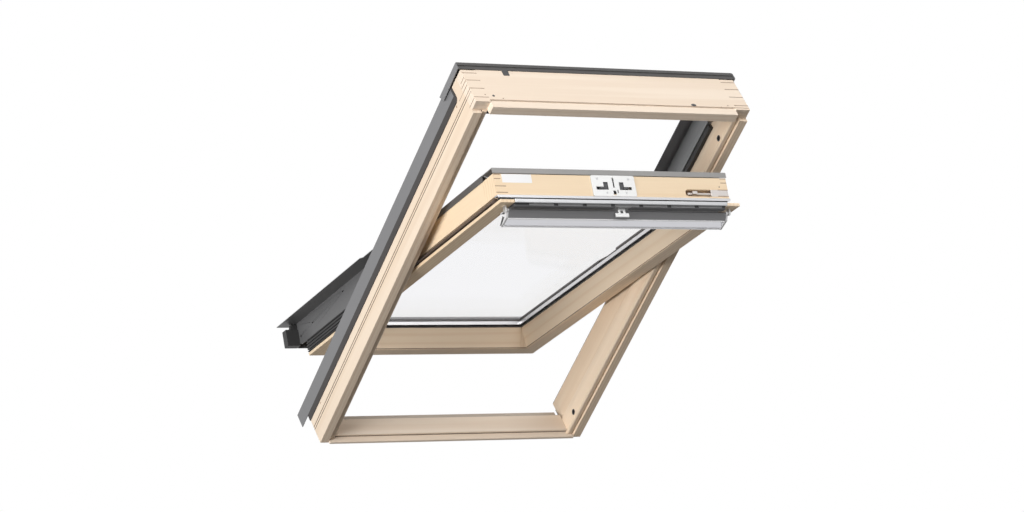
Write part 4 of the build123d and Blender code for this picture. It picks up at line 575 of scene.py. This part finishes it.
def frame_slot_painted_shade():
    """Painted shade: dark pieces that fill the outer grooves and the bottoms of the lining slots, for the
    shade inside these recesses.
    """
    groove_half = 1.4
    groove_depth = 2.0
    proud = 0.1
    groove_outside = FRAME_OUTSIDE + proud
    groove_inside = groove_outside - groove_depth
    groove_run = (SIDE_UPPER_END, SIDE_LOWER_END - 0.5)
    side_slot = about(365.0, 1.8)
    side_slot_run = (SIDE_UPPER_END + 7.0, SIDE_LOWER_END - 18.0)
    side_slot_depth = (-116.0, -110.2)
    low_slot = about(564.5, 1.3)
    low_slot_end = SIDE_INSIDE - 0.5
    low_slot_depth = (-115.0, -108.3)
    shapes = [block((-low_slot_end, low_slot_end), low_slot, low_slot_depth)]
    for way in BOTH_SIDES:
        for z in GROOVE_HEIGHTS:
            across = (way * groove_outside, way * groove_inside)
            shapes.append(block(across, groove_run, about(z, groove_half)))
        across = (way * side_slot[0], way * side_slot[1])
        shapes.append(block(across, side_slot_run, side_slot_depth))
    prisms("frame_slot_painted_shade", ROOF, shapes, painted_slot_shade, "frame")


def sash_edge_line():
    """Shadow line on the bevel round the sash's daylight edge."""
    low_bevel = ((503.9, -88.9), (502.9, -87.0), (502.75, -87.1), (503.75, -89.0))
    low_end = 295.5
    side_bevel = ((296.6, -88.9), (295.85, -86.9), (295.7, -86.95), (296.45, -88.95))
    side_run = (-450.0, 502.0)
    shapes = [sweep_x(low_bevel, -low_end, low_end)]
    for way in BOTH_SIDES:
        shapes.append(sweep_y([(way * x, z) for x, z in side_bevel], *side_run))
    prisms("sash_edge_line", SASH, shapes, glue_and_painted_shade, "sash")


def pane_edge_painted_shade():
    """Painted shade: a dark strip between the spacer and the outer pane, for the shadow along the spacer's
    outer edge.
    """
    thick = 0.4
    spacer_wide = 20.0
    proud = 0.1
    depth = (spacer.high.z - 3.0, spacer.high.z - 0.3)
    low = spacer.high.y - spacer_wide - proud
    side = spacer.high.x - spacer_wide - proud
    low_end = side - proud
    side_run = (spacer.low.y + 30.0, spacer.high.y - 21.0)
    shapes = [block((-low_end, low_end), (low, low - thick), depth)]
    for way in BOTH_SIDES:
        shapes.append(block((way * side, way * (side - thick)), side_run, depth))
    prisms("pane_edge_painted_shade", SASH, shapes, sash_rubber_and_shade, "sash")


def sash_cap_necks():
    """Rubber neck between each lower end cap and the flange above it."""
    inside = 341.0
    foot = 362.0
    crown = 356.0
    foot_height = -4.2
    crown_height = 12.5
    run = (587.0, 601.0)
    outline = ((inside, foot_height), (foot, foot_height), (crown, crown_height), (inside, crown_height))
    shapes = [sweep_y([(way * x, z) for x, z in outline], *run) for way in BOTH_SIDES]
    prisms("sash_cap_necks", SASH, shapes, sash_rubber_and_shade, "sash", edge=0.001)


def front_fasteners():
    """Nail heads, a screw and a flat plug on the top member's front, and a nail on the sash's."""
    nail = head(1.7)
    screw = head(3.4)
    plug = head(7.5)
    plug_squash = 0.6
    frame_nails = ((-355.7, -93.5), (-310.8, -105.7), (329.8, -104.0), (351.6, -103.1), (307.5, -111.0))
    nail_spots = [(x, FRAME_FRONT, z) for x, z in frame_nails]
    screw_spot = (-333.8, FRAME_FRONT, -96.8)
    plug_spot = (228.2, FRAME_FRONT, -106.5)
    sash_spot = (307.6, SASH_FRONT, -29.6)
    turned("frame_nails", ROOF, nail_spots, UP_SLOPE, nail, glue_and_painted_shade, "frame")
    turned("frame_screw", ROOF, [screw_spot], UP_SLOPE, screw, frame_plastic, "frame")
    turned("frame_plug", ROOF, [plug_spot], UP_SLOPE, plug, frame_plastic, "frame",
           sides=28, squash=plug_squash)
    turned("sash_nail", SASH, [sash_spot], UP_SLOPE, nail, frame_plastic, "sash")


def sash_head_strip():
    """Metal strip along the foot of the sash's front, folded down over its edge."""
    back = SASH_FRONT + 12.0
    front = SASH_FRONT - 3.5
    fold_back = front + 1.2
    top = -61.2
    underside = -64.7
    fold_foot = -68.0
    outline = (
        (back, top), (front, top), (front, fold_foot),
        (fold_back, fold_foot), (fold_back, underside), (back, underside),
    )
    strip = sweep_x(outline, -SASH_OUTSIDE, SASH_OUTSIDE)
    prisms("sash_head_strip", SASH, [strip], strip_alu, "sash", edge=0.0002)


def vent_filter():
    """Filter pads in the grille's cells."""
    pads_each_way = 3
    middle = 16.0
    spacing = 80.0
    half = 34.5
    front = grille.low.y + 0.6
    depth = 9.0
    rim = 2.7
    heights = (grille.low.z + rim, grille.high.z - rim)
    shapes = []
    for i in range(-pads_each_way, pads_each_way + 1):
        shapes.append(block(about(middle + spacing * i, half), (front, front + depth), heights))
    prisms("vent_filter", SASH, shapes, filter_pad, "sash", edge=0.0006)


def vent_painted_shade():
    """Painted shade: a dark strip on the sash between the grille and the control bar, where shade falls."""
    thick = 0.6
    under = SASH_ROOM - 0.7
    run = (grille.high.y + 0.5, -468.0)
    strip = block((grille.low.x, grille.high.x), run, (under, under + thick))
    prisms("vent_painted_shade", SASH, [strip], dark_plastic_and_shade, "sash")


def bar_end_marks():
    """Dark marks on the control bar's ends."""
    outline = ((-505.0, -113.5), (-499.0, -107.5), (-479.5, -124.5), (-485.5, -127.0))
    end = bar_cap.high.x
    thick = 0.4
    shapes = [sweep_x(outline, way * end, way * (end + thick)) for way in BOTH_SIDES]
    prisms("bar_end_marks", SASH, shapes, dark_plastic_and_shade, "control_bar")


def bar_painted_highlights():
    """Painted highlights: bright white beads along the control bar's joint and its lower edge, for the
    light these edges catch.
    """
    end = bar_cap.low.x - 0.5
    length = 2.0 * end
    radius = 1.6
    tip_radius = 1.0
    tip = 0.8
    rings = [(tip_radius, 0.0), (radius, tip), (radius, length - tip), (tip_radius, length)]
    starts = [(-end, -511.6, -118.6), (-end, -486.2, -128.2)]
    turned("bar_painted_highlights", SASH, starts, RIGHTWARDS, rings, painted_highlight_white, "control_bar", sides=14)


def lock_trim():
    """Screws of the lock plate and the small tab beside its key hole."""
    screw_radius = 2.4
    crown_radius = 1.6
    screw_rings = [(screw_radius, 0.0), (screw_radius, 0.5), (crown_radius, 1.0)]
    screw_sunk = 0.8
    screws = ((-44.0, -15.0), (44.0, -15.0), (-22.0, -51.0), (33.0, -51.0))
    spots = [(x, LOCK_FRONT + screw_sunk, z) for x, z in screws]
    tab_width = (8.0, 10.5)
    tab_height = (-51.0, -43.0)
    tab_thick = 0.8
    tab = block(tab_width, (LOCK_FRONT, LOCK_FRONT - tab_thick), tab_height)
    turned("lock_screws", SASH, spots, UP_SLOPE, screw_rings, frame_steel, "sash")
    prisms("lock_tab", SASH, [tab], latch_steel, "sash", edge=0.0003)


label_plate()
frame_glue_and_shade_lines()
sash_joint_lines()
frame_slot_painted_shade()
sash_edge_line()
pane_edge_painted_shade()
sash_cap_necks()
front_fasteners()
sash_head_strip()
vent_filter()
vent_painted_shade()
bar_end_marks()
bar_painted_highlights()
lock_trim()

# Camera, light, floor and white surroundings, in metres

CAMERA_PLACE = (-4.310, -7.553, -0.126)
CAMERA_YAW = math.radians(29.71)
CAMERA_RISE = math.radians(0.73)
FOCAL_PIXELS = 3400.0
PICTURE_WIDTH = 1024.0
SENSOR_WIDTH = 36.0
VIEW_DEPTH = 200.0
FLOOR_HEIGHT = -1.6
FLOOR_RADIUS = 9.0
FLOOR_SIDES = 96
FLOOR_PALE = (0.86, 0.86, 0.86)
# What the floor throws back at the part is dim, so that its undersides stay in shade
FLOOR_DIM = (0.09, 0.08, 0.07)
FLOOR_GLOW = 0.25
SKY_STRENGTH = 0.34
WHITE = (1.0, 1.0, 1.0)


def aim(obj, where, direction):
    """Put a lamp or the camera somewhere and point it."""
    obj.location = where
    obj.rotation_mode = "QUATERNION"
    obj.rotation_quaternion = direction.to_track_quat("-Z", "Y")


def camera():
    """The photograph's viewpoint."""
    lens = bpy.data.cameras.new("camera")
    lens.sensor_width = SENSOR_WIDTH
    lens.lens = FOCAL_PIXELS / PICTURE_WIDTH * SENSOR_WIDTH
    lens.clip_end = VIEW_DEPTH
    obj = bpy.data.objects.new("camera", lens)
    bpy.context.scene.collection.objects.link(obj)
    level = math.cos(CAMERA_RISE)
    look = Vector((math.sin(CAMERA_YAW) * level, math.cos(CAMERA_YAW) * level, math.sin(CAMERA_RISE)))
    aim(obj, CAMERA_PLACE, look)
    bpy.context.scene.camera = obj


def area(name, where, size, power):
    """A round soft lamp that faces the part's origin."""
    lamp = bpy.data.lights.new(name, "AREA")
    lamp.shape = "DISK"
    lamp.size = size
    lamp.energy = power
    obj = bpy.data.objects.new(name, lamp)
    bpy.context.scene.collection.objects.link(obj)
    aim(obj, where, -Vector(where))


def surroundings():
    """White to the camera and in mirrors and glass, and a soft sky light on the part."""
    world = bpy.data.worlds.new("world")
    bpy.context.scene.world = world
    world.use_nodes = True
    world.node_tree.nodes.clear()
    tree = Tree(world.node_tree)
    way = tree.add("ShaderNodeTexCoord").outputs["Generated"]
    up = tree.add("ShaderNodeSeparateXYZ", {"Vector": way}).outputs["Z"]
    strength = tree.span(up, low=0.0, high=SKY_STRENGTH, start=-1.0, end=1.0)
    sky = tree.add("ShaderNodeBackground", {"Strength": strength}).outputs["Background"]
    white = tree.add("ShaderNodeBackground", {"Color": WHITE, "Strength": 1.0}).outputs["Background"]
    rays = tree.add("ShaderNodeLightPath").outputs
    seen = tree.most(rays["Is Camera Ray"], rays["Is Glossy Ray"])
    seen = tree.most(seen, rays["Is Transmission Ray"])
    tree.add("ShaderNodeOutputWorld", {"Surface": tree.either(seen, sky, white)})


def floor_finish():
    """Pale matt floor, white in mirrors and glass, and see-through from below."""
    mat, tree, shader = new_material("floor_white")
    rays = tree.add("ShaderNodeLightPath").outputs
    seen = rays["Is Camera Ray"]
    tree.feed(shader, {
        "Base Color": tree.mix("MIX", seen, FLOOR_DIM, FLOOR_PALE),
        "Roughness": 0.9,
        "Emission Color": WHITE,
        "Emission Strength": tree.span(seen, low=0.0, high=FLOOR_GLOW),
    })
    glow = tree.add("ShaderNodeEmission").outputs["Emission"]
    mirrored = tree.most(rays["Is Glossy Ray"], rays["Is Transmission Ray"])
    above = tree.either(mirrored, shader.outputs["BSDF"], glow)
    clear = tree.add("ShaderNodeBsdfTransparent").outputs["BSDF"]
    below = tree.add("ShaderNodeNewGeometry").outputs["Backfacing"]
    tree.feed(mat.node_tree.nodes["Material Output"], {"Surface": tree.either(below, above, clear)})
    return mat


def stage_floor():
    """A round floor below the part."""
    mesh = bpy.data.meshes.new("floor")
    bm = bmesh.new()
    bmesh.ops.create_circle(bm, cap_ends=True, radius=FLOOR_RADIUS, segments=FLOOR_SIDES)
    bm.to_mesh(mesh)
    bm.free()
    floor = bpy.data.objects.new("floor", mesh)
    bpy.context.scene.collection.objects.link(floor)
    floor.location = (0.0, 0.0, FLOOR_HEIGHT)
    floor.data.materials.append(floor_finish())


camera()
area("left", (-5.58, -1.8, -0.3), size=2.4, power=222.0)
area("key", (-4.88, -3.83, 2.24), size=3.6, power=165.0)
area("top", (0.3, -3.97, 4.77), size=3.0, power=207.0)
area("right", (5.0, 2.8, 2.6), size=3.0, power=170.0)
surroundings()
stage_floor()

bpy.context.scene.view_settings.view_transform = "Standard"
